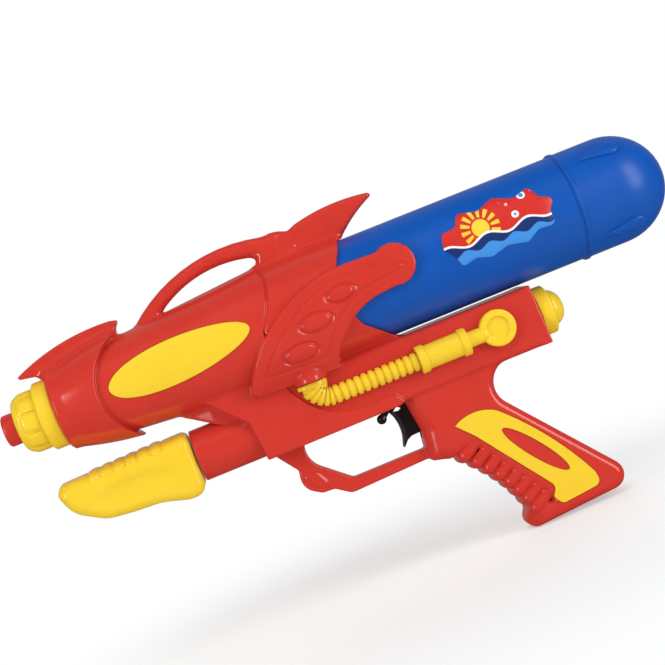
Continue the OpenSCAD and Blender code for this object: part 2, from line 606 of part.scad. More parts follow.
// Valve
module valve_body() {
    color(white) difference() {
        union() {
            rod_x(x_rear + 20, x_rear + 36.5, valve_r, 0, z_valve);
            rod_x(x_rear + 11, x_rear + 21, barb_r, water_y, z_valve);
            rod_x(x_rear + 11, x_rear + 21, barb_r, feed_y, z_valve);
        }
        rod_x(x_rear + 30, x_rear + 38, stem_r + 0.06, 0, z_valve);
        rod_x(x_rear + 23.6, x_rear + 31, stem_r + 1.6, 0, z_valve);
        rod_x(x_rear + 5, x_rear + 24, 1.1, feed_y, z_valve);
        rod_x(x_rear + 5, x_rear + 33, 0.9, water_y, z_valve);
        translate([0, 0, z_valve]) rod_y(water_y, 0, 0.8, x_rear + 32.4, 0);
    }
}
x_cam = x_rear + pin_at.x - 2;
module valve_stem() {
    x = x_cam - 2.8;
    color(white) translate([0, 0, z_valve]) turned() polygon([[0, x_rear + 28], [stem_r + 1.2, x_rear + 28],
        [stem_r + 1.2, x_rear + 29.8], [stem_r - 1, x_rear + 29.8], [stem_r - 1, x_rear + 34],
        [stem_r, x_rear + 34], [stem_r, x - 2.6], [5.2, x - 2.6], [5.2, x], [0, x]]);
}
module valve_seal() {
    color(rubber) translate([0, 0, z_valve]) turned() polygon([[stem_r - 0.96, x_rear + 29.84],
        [stem_r + 1.2, x_rear + 29.84], [stem_r + 1.2, x_rear + 30.94], [stem_r - 0.96, x_rear + 30.94]]);
}
spring_r = 4.2;
spring_from = x_rear + 36.9;
spring_to = x_cam - 5.8;
module valve_spring() {
    n = 8 * spring_turns;
    rise = (spring_to - spring_from) / n;
    echo(valve_spring_least_gap = rise * 8 - 2 * wire_r);
    points = [for (i = [0 : n]) let (t = 45 * i) for (k = [0 : 5])
        let (a = 60 * k, r = spring_r + wire_r * cos(a))
            [spring_from + rise * i + wire_r * sin(a), r * cos(t), r * sin(t)]];
    quads = [for (i = [0 : n - 1]) for (k = [0 : 5]) let (a = 6 * i + k, b = 6 * i + (k + 1) % 6)
        each [[a, a + 6, b], [b, a + 6, b + 6]]];
    ends = [for (k = [1 : 4]) [0, k, k + 1]];
    color(steel) translate([0, 0, z_valve]) polyhedron(points,
        concat(quads, ends, [for (f = ends) [6 * n + f[2], 6 * n + f[1], 6 * n + f[0]]]), convexity = 8);
}

// Tank and its socket
module tank_socket() {
    x = x_rear;
    color(white) {
        difference() {
            union() {
                turned() polygon([[0, x + 2.1], [tank_r + 1.2, x + 2.1], [tank_r + 1.2, x + 6],
                    [bore_r + 3, x + 6], [bore_r + 3, x + 21], [0, x + 21]]);
                rod_x(x - 7, x + 3, barb_r, port_water.x, port_water.y);
                rod_x(x - 7, x + 3, barb_r, port_air.x, port_air.y);
            }
            rod_x(x + 8, x + 40, bore_r);
            rod_x(x + 4.4, x + 9, 2.75, port_water.x, port_water.y);
            rod_x(x - 10, x + 9, 1.1, port_water.x, port_water.y);
            rod_x(x - 10, x + 9, 1.1, port_air.x, port_air.y);
        }
        translate([x + 11.5, 0, 0]) ridge(bore_r + 0.4, bore_r - ridge_h, 2);
    }
}
module tank_gasket() {
    color(rubber) turned() polygon([[thread_r - 3.4, x_rear + 8.02], [thread_r + 0.3, x_rear + 8.02],
        [thread_r + 0.3, x_rear + 9.9], [thread_r - 3.4, x_rear + 9.9]]);
}
tank_wall = 1.6;
function dome_line(r, a, from) = [for (i = [0 : 9]) let (t = 10 * i) [r * cos(t), from + a * sin(t)]];
module tank() {
    x = x_tank;
    d = x_dome - 34;
    b = x_dome - 61;
    color(blue) {
        difference() {
            turned() polygon(concat([[thread_r - 3, x_rear + 10], [thread_r, x_rear + 10], [thread_r, x]],
                arc_through([tank_r - 8, x], [tank_r - 2.3, x + 2.3], [tank_r, x + 8], 5),
                [[tank_r, b - 1.8], [tank_r + 1.1, b - 1], [tank_r + 1.1, b + 1], [tank_r + 0.4, b + 1.8]],
                dome_line(tank_r + 0.4, 34, d), [[0, x_dome], [0, x_dome - tank_wall]],
                [for (i = [0 : 8]) dome_line(tank_r - tank_wall, 34 - tank_wall, d)[8 - i]],
                [[tank_r - tank_wall, x + 8], [tank_r - 9, x + tank_wall], [thread_r - 3, x + tank_wall]]));
        }
        translate([x_rear + 13.5, 0, 0]) ridge(thread_r - 0.4, thread_r + ridge_h, 2);
        for (i = [0 : 3]) rotate([45 + 90 * i, 0, 0]) translate([d - 12, 0, tank_r - 1.3])
            rotate([0, 90, 0]) cylinder(h = 22, r1 = 1, r2 = 3.3);
    }
}
module tank_label() {
    color([0.9, 0.9, 0.4]) intersection() {
        turned() polygon([[tank_r + 0.08, x_tank + 75], [tank_r + 0.3, x_tank + 75],
            [tank_r + 0.3, x_tank + 150],
            [tank_r + 0.08, x_tank + 150]]);
        translate([x_tank + 112, -tank_r, 6]) cube([74, tank_r * 1.4, 33], center = true);
    }
}
pickup_tilt = asin((tank_r - tank_wall + port_water.y - 8.3) / (tank_len - 20));
module pickup_tube() {
    place = [x_rear + 4.8, port_water.x, port_water.y];
    color(white) translate(place) rotate([0, 90 + pickup_tilt, 0]) difference() {
        cylinder(h = tank_len - 20, r = 2.5);
        translate([0, 0, -1]) cylinder(h = tank_len, r = 1.5);
    }
}

// Pump
x_head = x_rear - 12;
x_pump = x_head - stroke - 17.8;
module pump_cylinder() {
    color(red) translate([0, 0, z_pump]) difference() {
        turned() polygon([[pump_bore, x_pump], [pump_r - 0.6, x_pump], [pump_r, x_pump + 0.6],
            [pump_r, x_rear - 20], [pump_r + 0.6, x_rear - 20], [pump_r + 0.6, x_rear - 17],
            [pump_r, x_rear - 17], [pump_r, x_rear - 4],
            [pump_bore, x_rear - 4]]);
        translate([x_rear - 9, 0, 0]) cylinder(h = 40, r = barb_r + 0.1);
    }
}
module pump_bush() {
    color(white) translate([0, 0, z_pump]) turned() polygon([[rod_r + 0.1, x_pump + 0.5],
        [pump_bore - 0.02, x_pump + 0.5], [pump_bore - 0.02, x_pump + 6], [rod_r + 0.1, x_pump + 6]]);
}
module pump_head() {
    color(white) difference() {
        union() {
            rod_x(x_head, x_rear - 4.2, pump_bore - 0.05, 0, z_pump);
            translate([x_rear - 9, 0, z_pump + 8]) cylinder(h = pump_r + 4.4, r = barb_r);
        }
        rod_x(x_head - 1, x_head + 1.2, 7, 0, z_pump);
        rod_x(x_head, x_rear - 7.5, 1.4, 0, z_pump);
        translate([x_rear - 9, 0, z_pump]) cylinder(h = 60, r = 1.1);
    }
}
module check_valve() {
    color(rubber) rod_x(x_head + 0.1, x_head + 1.15, 6.8, 0, z_pump);
}
module pump_rod() {
    x = x_pump - 1;
    color(white) translate([0, 0, z_pump]) turned() polygon([[0, x - 11], [8.5, x - 11], [8.5, x - 8.4],
        [rod_r, x - 8.4], [rod_r, x_head - 11], [3, x_head - 11], [3, x_head - 2], [0, x_head - 2]]);
}
module piston() {
    x = x_head - 10.9;
    color(white) translate([0, 0, z_pump]) turned() polygon([[3.05, x], [pump_bore - 0.15, x],
        [pump_bore - 0.15, x + 3], [pump_bore - 1.5, x + 3], [pump_bore - 1.5, x + 5.4],
        [pump_bore - 0.15, x + 5.4], [pump_bore - 0.15, x + 8.8], [3.05, x + 8.8]]);
}
module piston_ring() {
    color(rubber) translate([0, 0, z_pump]) turned() translate([pump_bore - 0.75, x_head - 6.7])
        circle(r = 0.7, $fn = 24);
}
pump_screws = [[-62, -6], [-24, -6]];
grip_line = rounded([[0, 18.7, 4.5], [-80, 16.2, 4], [-82.4, 9, 8], [-77, -3.5, 18], [-60, -13.6, 22],
    [-44, -15.4, 40], [-27, -16.4, 40], [-12, -21, 14], [0, -21.2, 7.5]]);
module pump_grip(side) {
    x = x_pump - 1;
    color(yellow) difference() {
        translate([x, 0, z_pump]) union() {
            slab(pump_grip_w) polygon(grip_line);
            for (i = [0 : 5]) rod_y(-pump_grip_w - 0.6, pump_grip_w + 0.6, 3.3, -58.3 + 7.6 * i, 14.2);
        }
        difference() {
            translate([x, 0, z_pump]) slab(pump_grip_w - 2.4) polygon(rounded([[-14, 13.3, 2], [-75, 12.3, 3],
                [-76, 6, 3], [-48, -11.4, 6], [-14, -15.6, 2]]));
            for (p = pump_screws) rod_y(-far, far, 4, x + p.x, z_pump + p.y);
        }
        rod_x(x - 11.1, x - 8.3, 8.6, 0, z_pump);
        rod_x(x - 20, x + 2, rod_r + 0.05, 0, z_pump);
        translate([-far / 2, side < 0 ? 0 : -2 * far, -far]) cube(2 * far);
        for (p = pump_screws) if (side < 0) {
            rod_y(-10, 1, screw_r + 0.05, x + p.x, z_pump + p.y);
        } else {
            rod_y(-1, 4, screw_r + 0.25, x + p.x, z_pump + p.y);
            rod_y(2.6, far, head_r + 0.3, x + p.x, z_pump + p.y);
        }
    }
}
module pump_grip_left() {
    pump_grip(-1);
}
module pump_grip_right() {
    pump_grip(1);
}
module pump_grip_screws() {
    color(steel) for (p = pump_screws) {
        rod_y(-9, 3, screw_r, x_pump - 1 + p.x, z_pump + p.y);
        rod_y(2.6, 4.4, head_r, x_pump - 1 + p.x, z_pump + p.y);
    }
}

// Trigger
blade = concat([[38.6, -40.6]], arc_through([40.2, -44], [41.4, -51], [40.2, -59], 6),
    [[39, -62.6], [39.6, -63.2], [43, -59.6], [46, -58.2], [57, -57.6], [57, -48], [54, -30],
    [46, -30], [44, -36.5]]);
module trigger() {
    color(rubber) body_frame() difference() {
        union() {
            slab(trigger_w) polygon(blade);
            rod_y(-trigger_w, trigger_w, 4.6, pin_at.x, pin_at.y);
            slab(trigger_w - 0.6) polygon([[46.4, -31], [46, -18], [50, -18], [53.6, -31]]);
            rod_y(-trigger_w + 0.3, trigger_w - 0.3, 2.5, pin_at.x - 2, pin_at.y + cam_h);
            slab(2) polygon([[34.4, -45.2], [31.8, -42.4], [43, -33], [46, -34]]);
            rod_y(-2.6, 2.6, 2.9, 33, -42.8);
        }
        rod_y(-10, 10, pin_r + 0.06, pin_at.x, pin_at.y);
    }
}
module trigger_pin() {
    color(steel) body_frame() rod_y(-12, 12, pin_r, pin_at.x, pin_at.y);
}

left_shell();
right_shell();
barrel_insert_left();
barrel_insert_right();
grip_insert_left();
grip_insert_right();
hose_left();
hose_right();
hose_coupling_left();
hose_coupling_right();
rear_plug();
nozzle_spigot();
nozzle_washer();
nozzle_tip();
nozzle_nut();
water_line();
valve_body();
valve_stem();
valve_seal();
valve_spring();
feed_line();
tank_socket();
tank_gasket();
tank();
tank_label();
pickup_tube();
pump_cylinder();
pump_bush();
pump_head();
check_valve();
air_line();
pump_rod();
piston();
piston_ring();
pump_grip_left();
pump_grip_right();
pump_grip_screws();
trigger();
trigger_pin();
case_screws();
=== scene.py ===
from math import acos, atan2, ceil, cos, pi, radians, sin, sqrt, tan

import bmesh
import bpy
import numpy as np
from mathutils import Matrix, Vector


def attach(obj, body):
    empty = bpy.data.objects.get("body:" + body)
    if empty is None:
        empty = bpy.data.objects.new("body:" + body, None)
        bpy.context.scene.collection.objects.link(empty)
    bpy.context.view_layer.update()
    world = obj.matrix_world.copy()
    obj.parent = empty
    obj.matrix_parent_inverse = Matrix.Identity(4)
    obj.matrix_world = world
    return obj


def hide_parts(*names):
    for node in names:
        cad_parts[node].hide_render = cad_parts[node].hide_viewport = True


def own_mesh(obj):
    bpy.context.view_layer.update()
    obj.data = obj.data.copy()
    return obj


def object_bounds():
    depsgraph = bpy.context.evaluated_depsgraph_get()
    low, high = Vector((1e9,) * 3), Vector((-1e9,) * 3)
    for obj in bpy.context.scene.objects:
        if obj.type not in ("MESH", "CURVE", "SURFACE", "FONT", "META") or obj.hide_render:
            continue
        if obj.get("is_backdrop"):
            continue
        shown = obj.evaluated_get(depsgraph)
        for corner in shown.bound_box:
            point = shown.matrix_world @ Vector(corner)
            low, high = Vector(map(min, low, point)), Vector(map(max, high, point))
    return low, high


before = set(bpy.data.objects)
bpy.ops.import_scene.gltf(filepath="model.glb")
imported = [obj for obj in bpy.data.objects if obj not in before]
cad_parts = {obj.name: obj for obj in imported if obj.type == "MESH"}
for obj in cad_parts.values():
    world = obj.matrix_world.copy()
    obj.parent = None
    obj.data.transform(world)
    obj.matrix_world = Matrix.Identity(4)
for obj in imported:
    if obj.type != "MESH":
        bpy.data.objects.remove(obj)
cad_low, cad_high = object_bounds()

# Camera: a long lens level with the barrel, a little towards the muzzle and rolled, so that the muzzle
# points down to the left. The aim is the point of the mid plane in the middle of the picture.
MM = 0.001
aim = Vector((200.4, 0, -17.2)) * MM
distance, turn, lift, roll = 810 * MM, radians(3.7), radians(2.0), radians(21.8)
look = Vector((sin(turn) * cos(lift), cos(turn) * cos(lift), -sin(lift)))
level = look.cross(Vector((0, 0, 1))).normalized()
up = level.cross(look)
right = level * cos(roll) - up * sin(roll)
top = level * sin(roll) + up * cos(roll)
camera = bpy.data.objects.new("camera", bpy.data.cameras.new("camera"))
camera.data.sensor_width = 36
camera.data.lens = 73.4
camera.data.clip_end = 20
camera.matrix_world = Matrix((right, top, -look)).transposed().to_4x4()
camera.location = aim - look * distance
bpy.context.collection.objects.link(camera)
bpy.context.scene.camera = camera

# Studio: a softbox on each side, whose gloss shows, and two screened ones above and behind, all soft.
# The room is white to the lens and lights the toy dimly. In gloss it is dark, but for a grey wall behind and above.
bpy.context.scene.view_settings.view_transform = "Standard"


def softbox(name, place, target, size, watts):
    """An area lamp turned to its target."""
    lamp = bpy.data.lights.new(name, "AREA")
    lamp.shape, lamp.size, lamp.size_y, lamp.energy = "RECTANGLE", size[0], size[1], watts
    box = bpy.data.objects.new(name, lamp)
    box.location = place
    box.rotation_euler = (Vector(target) - Vector(place)).to_track_quat("-Z", "Y").to_euler()
    bpy.context.collection.objects.link(box)
    return box


softbox("left_softbox", (-0.85, -0.8, 0.25), (0.16, 0, -0.02), (0.28, 0.8), 5.2)
softbox("right_softbox", (1.2, -0.85, 0.2), (0.24, 0, -0.02), (0.5, 1.1), 9)
softbox("top_softbox", (0.15, -0.65, 0.9), (0.2, 0, -0.02), (0.9, 0.6), 4).visible_glossy = False
softbox("back_softbox", (0.3, 1.0, 0.7), (0.2, 0, 0), (0.9, 0.5), 4).visible_glossy = False


def node(tree, kind, inputs=None, **settings):
    """Adds a node, a shader node if its kind is short. An input gets a value, or a node or socket to feed it."""
    made = tree.nodes.new(kind if "Node" in kind else "ShaderNode" + kind)
    for name, value in settings.items():
        setattr(made, name, value)
    for name, value in (inputs or {}).items():
        if isinstance(value, bpy.types.Node):
            value = value.outputs[0]
        if isinstance(value, bpy.types.NodeSocket):
            tree.links.new(value, made.inputs[name])
        else:
            made.inputs[name].default_value = value
    return made


def emptied(owner):
    """The node tree of a new world or material, with nothing in it."""
    owner.use_nodes = True
    owner.node_tree.nodes.clear()
    return owner.node_tree


def linear(code):
    """An sRGB hex colour as linear light."""
    values = [int(code[i:i + 2], 16) / 255 for i in (1, 3, 5)]
    return [v / 12.92 if v <= 0.04045 else ((v + 0.055) / 1.055) ** 2.4 for v in values] + [1.0]


def to_lens(tree):
    """1 for rays from the lens and through clear matter, else 0."""
    ray = node(tree, "LightPath")
    return node(tree, "Math", {0: ray.outputs["Is Camera Ray"], 1: ray.outputs["Is Transmission Ray"]},
        operation="MAXIMUM")


room = bpy.data.worlds.new("white_room")
bpy.context.scene.world = room
tree = emptied(room)
facing = node(tree, "TexCoord")
behind = node(tree, "VectorMath", {0: facing.outputs["Generated"], 1: (0, 1, 0.5)}, operation="DOT_PRODUCT")
wall = node(tree, "MapRange", {0: behind.outputs["Value"], 1: 0.4, 2: 1.0, 3: -0.53, 4: -0.15},
    interpolation_type="SMOOTHSTEP")
ray = node(tree, "LightPath")
gloss = node(tree, "Math", {0: ray.outputs["Is Glossy Ray"], 1: wall}, operation="MULTIPLY")
seen = node(tree, "Math", {0: gloss, 1: to_lens(tree)}, operation="ADD")
strength = node(tree, "Math", {0: seen, 1: 0.62, 2: 0.38}, operation="MULTIPLY_ADD")
light = node(tree, "Background", {"Color": linear("#FFFFFF"), "Strength": strength})
node(tree, "OutputWorld", {"Surface": light})

# Floor: a pale sheet under the butt of the hand grip, matt near the toy so that it keeps its shadow,
# and fading into the white room further out.
floor_mesh = bpy.data.meshes.new("floor")
floor_mesh.from_pydata([(-6, -6, 0), (6, -6, 0), (6, 6, 0), (-6, 6, 0)], [], [(0, 1, 2, 3)])
floor_mesh.transform(Matrix.Translation((0.2, 0, cad_low.z - 0.0005)))
floor = bpy.data.objects.new("floor", floor_mesh)
bpy.context.collection.objects.link(floor)
paper = bpy.data.materials.new("white_paper_sheet")
tree = emptied(paper)
where = node(tree, "TexCoord")
flat = node(tree, "VectorMath", {0: where.outputs["Object"], 1: (0.22, 0, cad_low.z)}, operation="SUBTRACT")
far = node(tree, "VectorMath", {0: flat}, operation="LENGTH")
fade = node(tree, "MapRange", {0: far.outputs["Value"], 1: 0.08, 2: 0.34, 3: 0.45}, interpolation_type="SMOOTHSTEP")
seen = node(tree, "Math", {0: fade, 1: to_lens(tree)}, operation="MULTIPLY")
matt = node(tree, "BsdfDiffuse", {"Color": linear("#FAFAFA")})
glow = node(tree, "Emission", {"Color": linear("#FFFFFF")})
mixed = node(tree, "MixShader", {0: seen, 1: matt, 2: glow})
node(tree, "OutputMaterial", {"Surface": mixed})
floor_mesh.materials.append(paper)
floor.visible_glossy = False
floor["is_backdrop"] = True

# Case halves: two shells of red polystyrene, injection moulded and screwed together on the mid plane.
# Each carries half of the barrel with its front shroud and crest, the cowl with its fins, the receiver,
# the trigger guard and the hand grip, run into each other with small fillets. Lengths are in millimetres.
x_step, z_top, z_pump, z_plug = 175.5, -34.0, -55.4, -52.4


def swept(centre, r, start, sweep, n):
    """Points of an arc about a centre, both ends included."""
    return [tuple(centre + r * np.array([cos(start + sweep * k / n), sin(start + sweep * k / n)]))
        for k in range(n + 1)]


def turns(n):
    """Angles that go once round."""
    return [2 * pi * k / n for k in range(n)]


def arc(a, b, c, n=12):
    """Points of the circle through three points, from the first to the last."""
    a, b, c = (np.array(p, float) for p in (a, b, c))
    d = 2 * (a[0] * (b[1] - c[1]) + b[0] * (c[1] - a[1]) + c[0] * (a[1] - b[1]))
    o = np.array([(a @ a) * (b[1] - c[1]) + (b @ b) * (c[1] - a[1]) + (c @ c) * (a[1] - b[1]),
        (a @ a) * (c[0] - b[0]) + (b @ b) * (a[0] - c[0]) + (c @ c) * (b[0] - a[0])]) / d
    start, end = (atan2(*(p - o)[::-1]) for p in (a, c))
    left = (b - a)[0] * (c - b)[1] - (b - a)[1] * (c - b)[0] > 0
    sweep = (end - start) % (2 * pi) if left else -((start - end) % (2 * pi))
    return swept(o, np.linalg.norm(a - o), start, sweep, n)


def rounded(corners, n=6):
    """A closed outline whose corners (x, z, radius) are rounded."""
    out = []
    for i, (x, z, r) in enumerate(corners):
        p = np.array([x, z])
        if r == 0:
            out.append((x, z))
            continue
        u, v = (np.array(corners[j % len(corners)][:2]) - p for j in (i - 1, i + 1))
        u, v = u / np.linalg.norm(u), v / np.linalg.norm(v)
        half = acos(np.clip(u @ v, -1, 1)) / 2
        o = p + (u + v) / np.linalg.norm(u + v) * r / sin(half)
        s, e = p + u * r / tan(half) - o, p + v * r / tan(half) - o
        start = atan2(s[1], s[0])
        sweep = (atan2(e[1], e[0]) - start + 3 * pi) % (2 * pi) - pi
        out += swept(o, r, start, sweep, n)
    return out


def body(points, up=0):
    """Points measured from the step in front of the tank and the top of the receiver, or a height above it."""
    return [(x_step + p[0], z_top + (p[1] + up)) + tuple(p[2:]) for p in points]


def outline(points):
    """Signed distance to a closed outline in the mid plane, negative inside."""
    p = np.array(points, float)

    def measure(x, z):
        x, z = x[:, 0, :], z[:, 0, :]
        best = np.full(np.broadcast(x, z).shape, 1e9)
        inside = np.zeros(best.shape, bool)
        for a, b in zip(p, np.roll(p, -1, 0)):
            e = b - a
            t = np.clip(((x - a[0]) * e[0] + (z - a[1]) * e[1]) / (e @ e + 1e-12), 0, 1)
            best = np.minimum(best, (x - a[0] - t * e[0]) ** 2 + (z - a[1] - t * e[1]) ** 2)
            if e[1] != 0:
                inside ^= ((z >= a[1]) != (z >= b[1])) & (x < a[0] + e[0] * (z - a[1]) / e[1])
        return (np.where(inside, -1, 1) * np.sqrt(best))[:, None, :].astype(np.float32)

    return measure


def edge(a, b, r):
    """Where two forms meet inside both, with the edge between them rounded."""
    u, v = np.maximum(a + r, 0), np.maximum(b + r, 0)
    return np.minimum(np.maximum(a, b), -r) + np.sqrt(u * u + v * v)


class Clay:
    """A block on a grid of cells that forms are added to or cut from, with fillets, before it is skinned."""

    def __init__(self, low, high, cell):
        self.cell, self.low = cell, np.array(low, float)
        counts = [int(ceil((b - a) / cell)) + 1 for a, b in zip(low, high)]
        self.axes = [(a + cell * np.arange(n)).astype(np.float32) for a, n in zip(low, counts)]
        self.field = np.full(counts, 9.0, np.float32)

    def part(self, box):
        x, y, z = self.axes
        i, k = (slice(*np.searchsorted(v, w)) for v, w in ((x, box[:2]), (z, box[2:])))
        return (i, slice(None), k), x[i, None, None], y[None, :, None], z[None, None, k]

    def add(self, box, form, fillet=1.0, sign=1):
        at, x, y, z = self.part(box)
        f, d = sign * self.field[at], form(x, y, z)
        h = np.maximum(fillet - np.abs(f - d), 0) / fillet
        self.field[at] = sign * (np.minimum(f, d) - h * h * fillet / 4)

    def cut(self, box, form, fillet=1.0):
        self.add(box, form, fillet, -1)

    def press(self, box, depth):
        """Moves the skin in (positive) or out by a depth that varies along it."""
        at, x, y, z = self.part(box)
        self.field[at] = self.field[at] + depth(x, y, z)

    def sample(self, p):
        """The field at points, between the grid's values."""
        q = (p - self.low) / self.cell
        i = np.clip(np.floor(q).astype(int), 0, np.array(self.field.shape) - 2)
        t = np.clip(q - i, 0, 1)
        value = 0
        for c in np.ndindex(2, 2, 2):
            w = np.where(c, t, 1 - t)
            value = value + w[:, 0] * w[:, 1] * w[:, 2] * self.field[tuple((i + c).T)]
        return value

    def normal(self, p, step):
        g = np.stack([self.sample(p + step * e) - self.sample(p - step * e) for e in np.eye(3)], 1)
        return g / np.maximum(np.linalg.norm(g, axis=1, keepdims=True), 1e-9)

    def untangle(self):
        """Opens the few grid faces where two skins would touch along one edge."""
        f = self.field
        square = ((0, 0), (1, 0), (1, 1), (0, 1))
        for _ in range(8):
            found = 0
            for axis in range(3):
                steps = [np.insert(corner, axis, 0) for corner in square]
                size = np.array(f.shape) - np.insert((1, 1), axis, 0)
                a, b, c, d = (f[tuple(slice(o, o + m) for o, m in zip(step, size))] < 0 for step in steps)
                bad = np.argwhere((a == c) & (b == d) & (a != b))
                found += len(bad)
                for spot in bad:
                    least = min((tuple(spot + step) for step in steps), key=lambda k: abs(f[k]))
                    f[least] = 0.02 if f[least] < 0 else -0.02
            if not found:
                break

    def skin(self):
        """Vertices and four-sided faces of the surface where the field is zero."""
        self.untangle()
        f, size = self.field, np.array(self.field.shape) - 1
        s, corners = f < 0, list(np.ndindex(2, 2, 2))
        count = sum(s[tuple(slice(o, o + m) for o, m in zip(c, size))].astype(np.int8) for c in corners)
        cells = np.argwhere((count > 0) & (count < 8))
        number = np.full(size, -1, np.int64)
        number[tuple(cells.T)] = np.arange(len(cells))
        place, hits = np.zeros((len(cells), 3)), np.zeros(len(cells))
        value = {c: f[tuple((cells + c).T)] for c in corners}
        for a in corners:
            for axis in (i for i in range(3) if not a[i]):
                b = tuple(v + (i == axis) for i, v in enumerate(a))
                cross = (value[a] < 0) != (value[b] < 0)
                t = np.where(cross, value[a] / np.where(cross, value[a] - value[b], 1), 0)
                spot = np.array(a, float) + t[:, None] * (np.array(b) - np.array(a))
                place += np.where(cross[:, None], spot, 0)
                hits += cross
        points = self.low + self.cell * (cells + place / hits[:, None])
        for _ in range(2):
            points = points - (0.8 * self.sample(points))[:, None] * self.normal(points, 0.5 * self.cell)
        faces = []
        for axis in range(3):
            u, v = (axis + 1) % 3, (axis + 2) % 3
            first, second = [slice(1, -1)] * 3, [slice(1, -1)] * 3
            first[axis], second[axis] = slice(0, -1), slice(1, None)
            a, b = s[tuple(first)], s[tuple(second)]
            for order, mask in ((1, a & ~b), (-1, ~a & b)):
                quad = []
                for du, dv in ((0, 0), (1, 0), (1, 1), (0, 1)):
                    c = np.argwhere(mask)
                    c[:, u] += du
                    c[:, v] += dv
                    quad.append(number[tuple(c.T)])
                faces.append(np.stack(quad[::order], 1))
        return points.astype(np.float32), np.concatenate(faces).tolist()


def mesh_object(name, points, faces=(), edges=()):
    """An object in the shared frame, from millimetres."""
    mesh = bpy.data.meshes.new(name)
    mesh.from_pydata(np.asarray(points) * MM, edges, faces)
    return linked(name, mesh)


def linked(name, mesh):
    """A new object in the scene."""
    made = bpy.data.objects.new(name, mesh)
    bpy.context.collection.objects.link(made)
    return made


def closed(name, points, faces, flat=False):
    """A closed form whose faces all look outwards, cut into triangles where they are flat and many-sided."""
    made = mesh_object(name, points, faces)
    form = bmesh.new()
    form.from_mesh(made.data)
    bmesh.ops.recalc_face_normals(form, faces=form.faces)
    if flat:
        bmesh.ops.triangulate(form, faces=form.faces)
    form.to_mesh(made.data)
    form.free()
    return made


def flip(mesh):
    """Mirrors a mesh in the mid plane."""
    mesh.transform(Matrix.Diagonal((1, -1, 1, 1)))
    mesh.flip_normals()
    return mesh


def settle(made):
    """Turns an object's modifiers into its mesh."""
    bpy.context.view_layer.update()
    mesh = bpy.data.meshes.new_from_object(made.evaluated_get(bpy.context.evaluated_depsgraph_get()))
    old, made.data = made.data, mesh
    made.modifiers.clear()
    bpy.data.meshes.remove(old)
    return made


def trim(made, *tools, work="DIFFERENCE"):
    """Cuts tool objects out of a piece, or joins them to it, and removes them."""
    for tool in tools:
        cutter = made.modifiers.new("trim", "BOOLEAN")
        cutter.operation, cutter.solver, cutter.object = work, "MANIFOLD", tool
        settle(made)
        bpy.data.objects.remove(tool)
    return made


def lathe(name, profile, centre=(0, 0), steps=96):
    """A closed form turned on an axis along X; the profile is (radius, x), and goes round with the axis inside."""
    points, faces, rows = [], [], []
    for r, x in profile:
        if r == 0:
            rows.append([len(points)] * steps)
            points.append((x, centre[0], centre[1]))
        else:
            rows.append(list(range(len(points), len(points) + steps)))
            points += [(x, centre[0] + r * cos(a), centre[1] + r * sin(a)) for a in turns(steps)]
    hollow = profile[0][0] > 0 or profile[-1][0] > 0
    for a, b in zip(rows, rows[1:] + (rows[:1] if hollow else [])):
        for k in range(steps):
            face = [a[k], a[(k + 1) % steps], b[(k + 1) % steps], b[k]]
            face = [v for i, v in enumerate(face) if v not in face[:i]]
            if len(face) > 2:
                faces.append(face)
    return closed(name, points, faces)


def prism(name, points, y0, y1):
    """An outline in the mid plane carried from y0 to y1."""
    n = len(points)
    both = [(x, y0, z) for x, z in points] + [(x, y1, z) for x, z in points]
    faces = [list(range(n)), list(range(2 * n - 1, n - 1, -1))]
    faces += [[k, n + k, n + (k + 1) % n, (k + 1) % n] for k in range(n)]
    return closed(name, both, faces, flat=True)


def barrel_radius(x):
    return 24.3 + 0.0852 * (x - 33.5)


def shroud_radius(x):
    return 23.1 + 0.3217 * (x - 33.5) - 0.00265 * (x - 33.5) ** 2


def ring(y, z):
    """Distance from the barrel's axis."""
    return np.sqrt(y * y + z * z)


def plate(points, half, r):
    """A form with an outline, half a thickness on each side of the mid plane and rounded edges."""
    measure = points if callable(points) else outline(points)
    return lambda x, y, z: edge(measure(x, z), np.abs(y) - (half(x, z) if callable(half) else half),
        r(x, z) if callable(r) else r)


case = Clay((15, -40.2, -173), (345, 3.2, 57), 0.72)
barrel_line = outline([(34.6, -60), (34.6, 60), (170.5, 60), (171, 33.2)]
    + arc((172.5, 28), (169.5, 15), (161.5, -1)) + [(161.5, -60)])
case.add((30, 178, -42, 42), lambda x, y, z: edge((ring(y, z) - barrel_radius(x)) * 0.996, barrel_line(x, z), 0.6))
cowl_line = outline([(161.4, -60), (161.4, 60), (224.5, 60), (222.5, 33)]
    + arc((219.5, 26), (211.5, 3), (217.5, -19)) + [(237.5, -35.2), (237.5, -60)])
case.add((155, 242, -40, 40), lambda x, y, z: edge(ring(y, z) - 34.6, cowl_line(x, z), 0.7), 0.3)
case.press((160, 180, -8, 34), lambda x, y, z: 0.7 * np.exp(-((barrel_line(x, z) - 0.55) / 0.6) ** 2) * (y < -10))
z_barrel = 69.2
handle_line = body([(-70, -14), (-82, -13)] + arc((-83, -6), (-23, 18.8), (14, 14)) + [(12, -4), (2, -5)]
    + arc((-0.5, 6), (-23, 9.6), (-65, -4)), z_barrel)
case.add((88, 194, 16, 57), plate(handle_line, lambda x, z: 5.2 - 0.9 * np.clip((x - 164) / 22, 0, 1), 4.2), 1.8)
fin_line = body([(-5, -8), (-4, -1), (3, 9.5), (12, 15.4), (18, 15.2), (22, 13.8)]
    + arc((28, 16), (52, 19.2), (75, 17.6)) + [(76.5, 16.2)] + arc((76, 15), (61, 6.5), (45, -8)), z_barrel)
case.add((166, 256, 24, 57), plate(fin_line, lambda x, z: 4.6 - 0.07 * np.maximum(z - 38, 0), 2.8), 6.0)
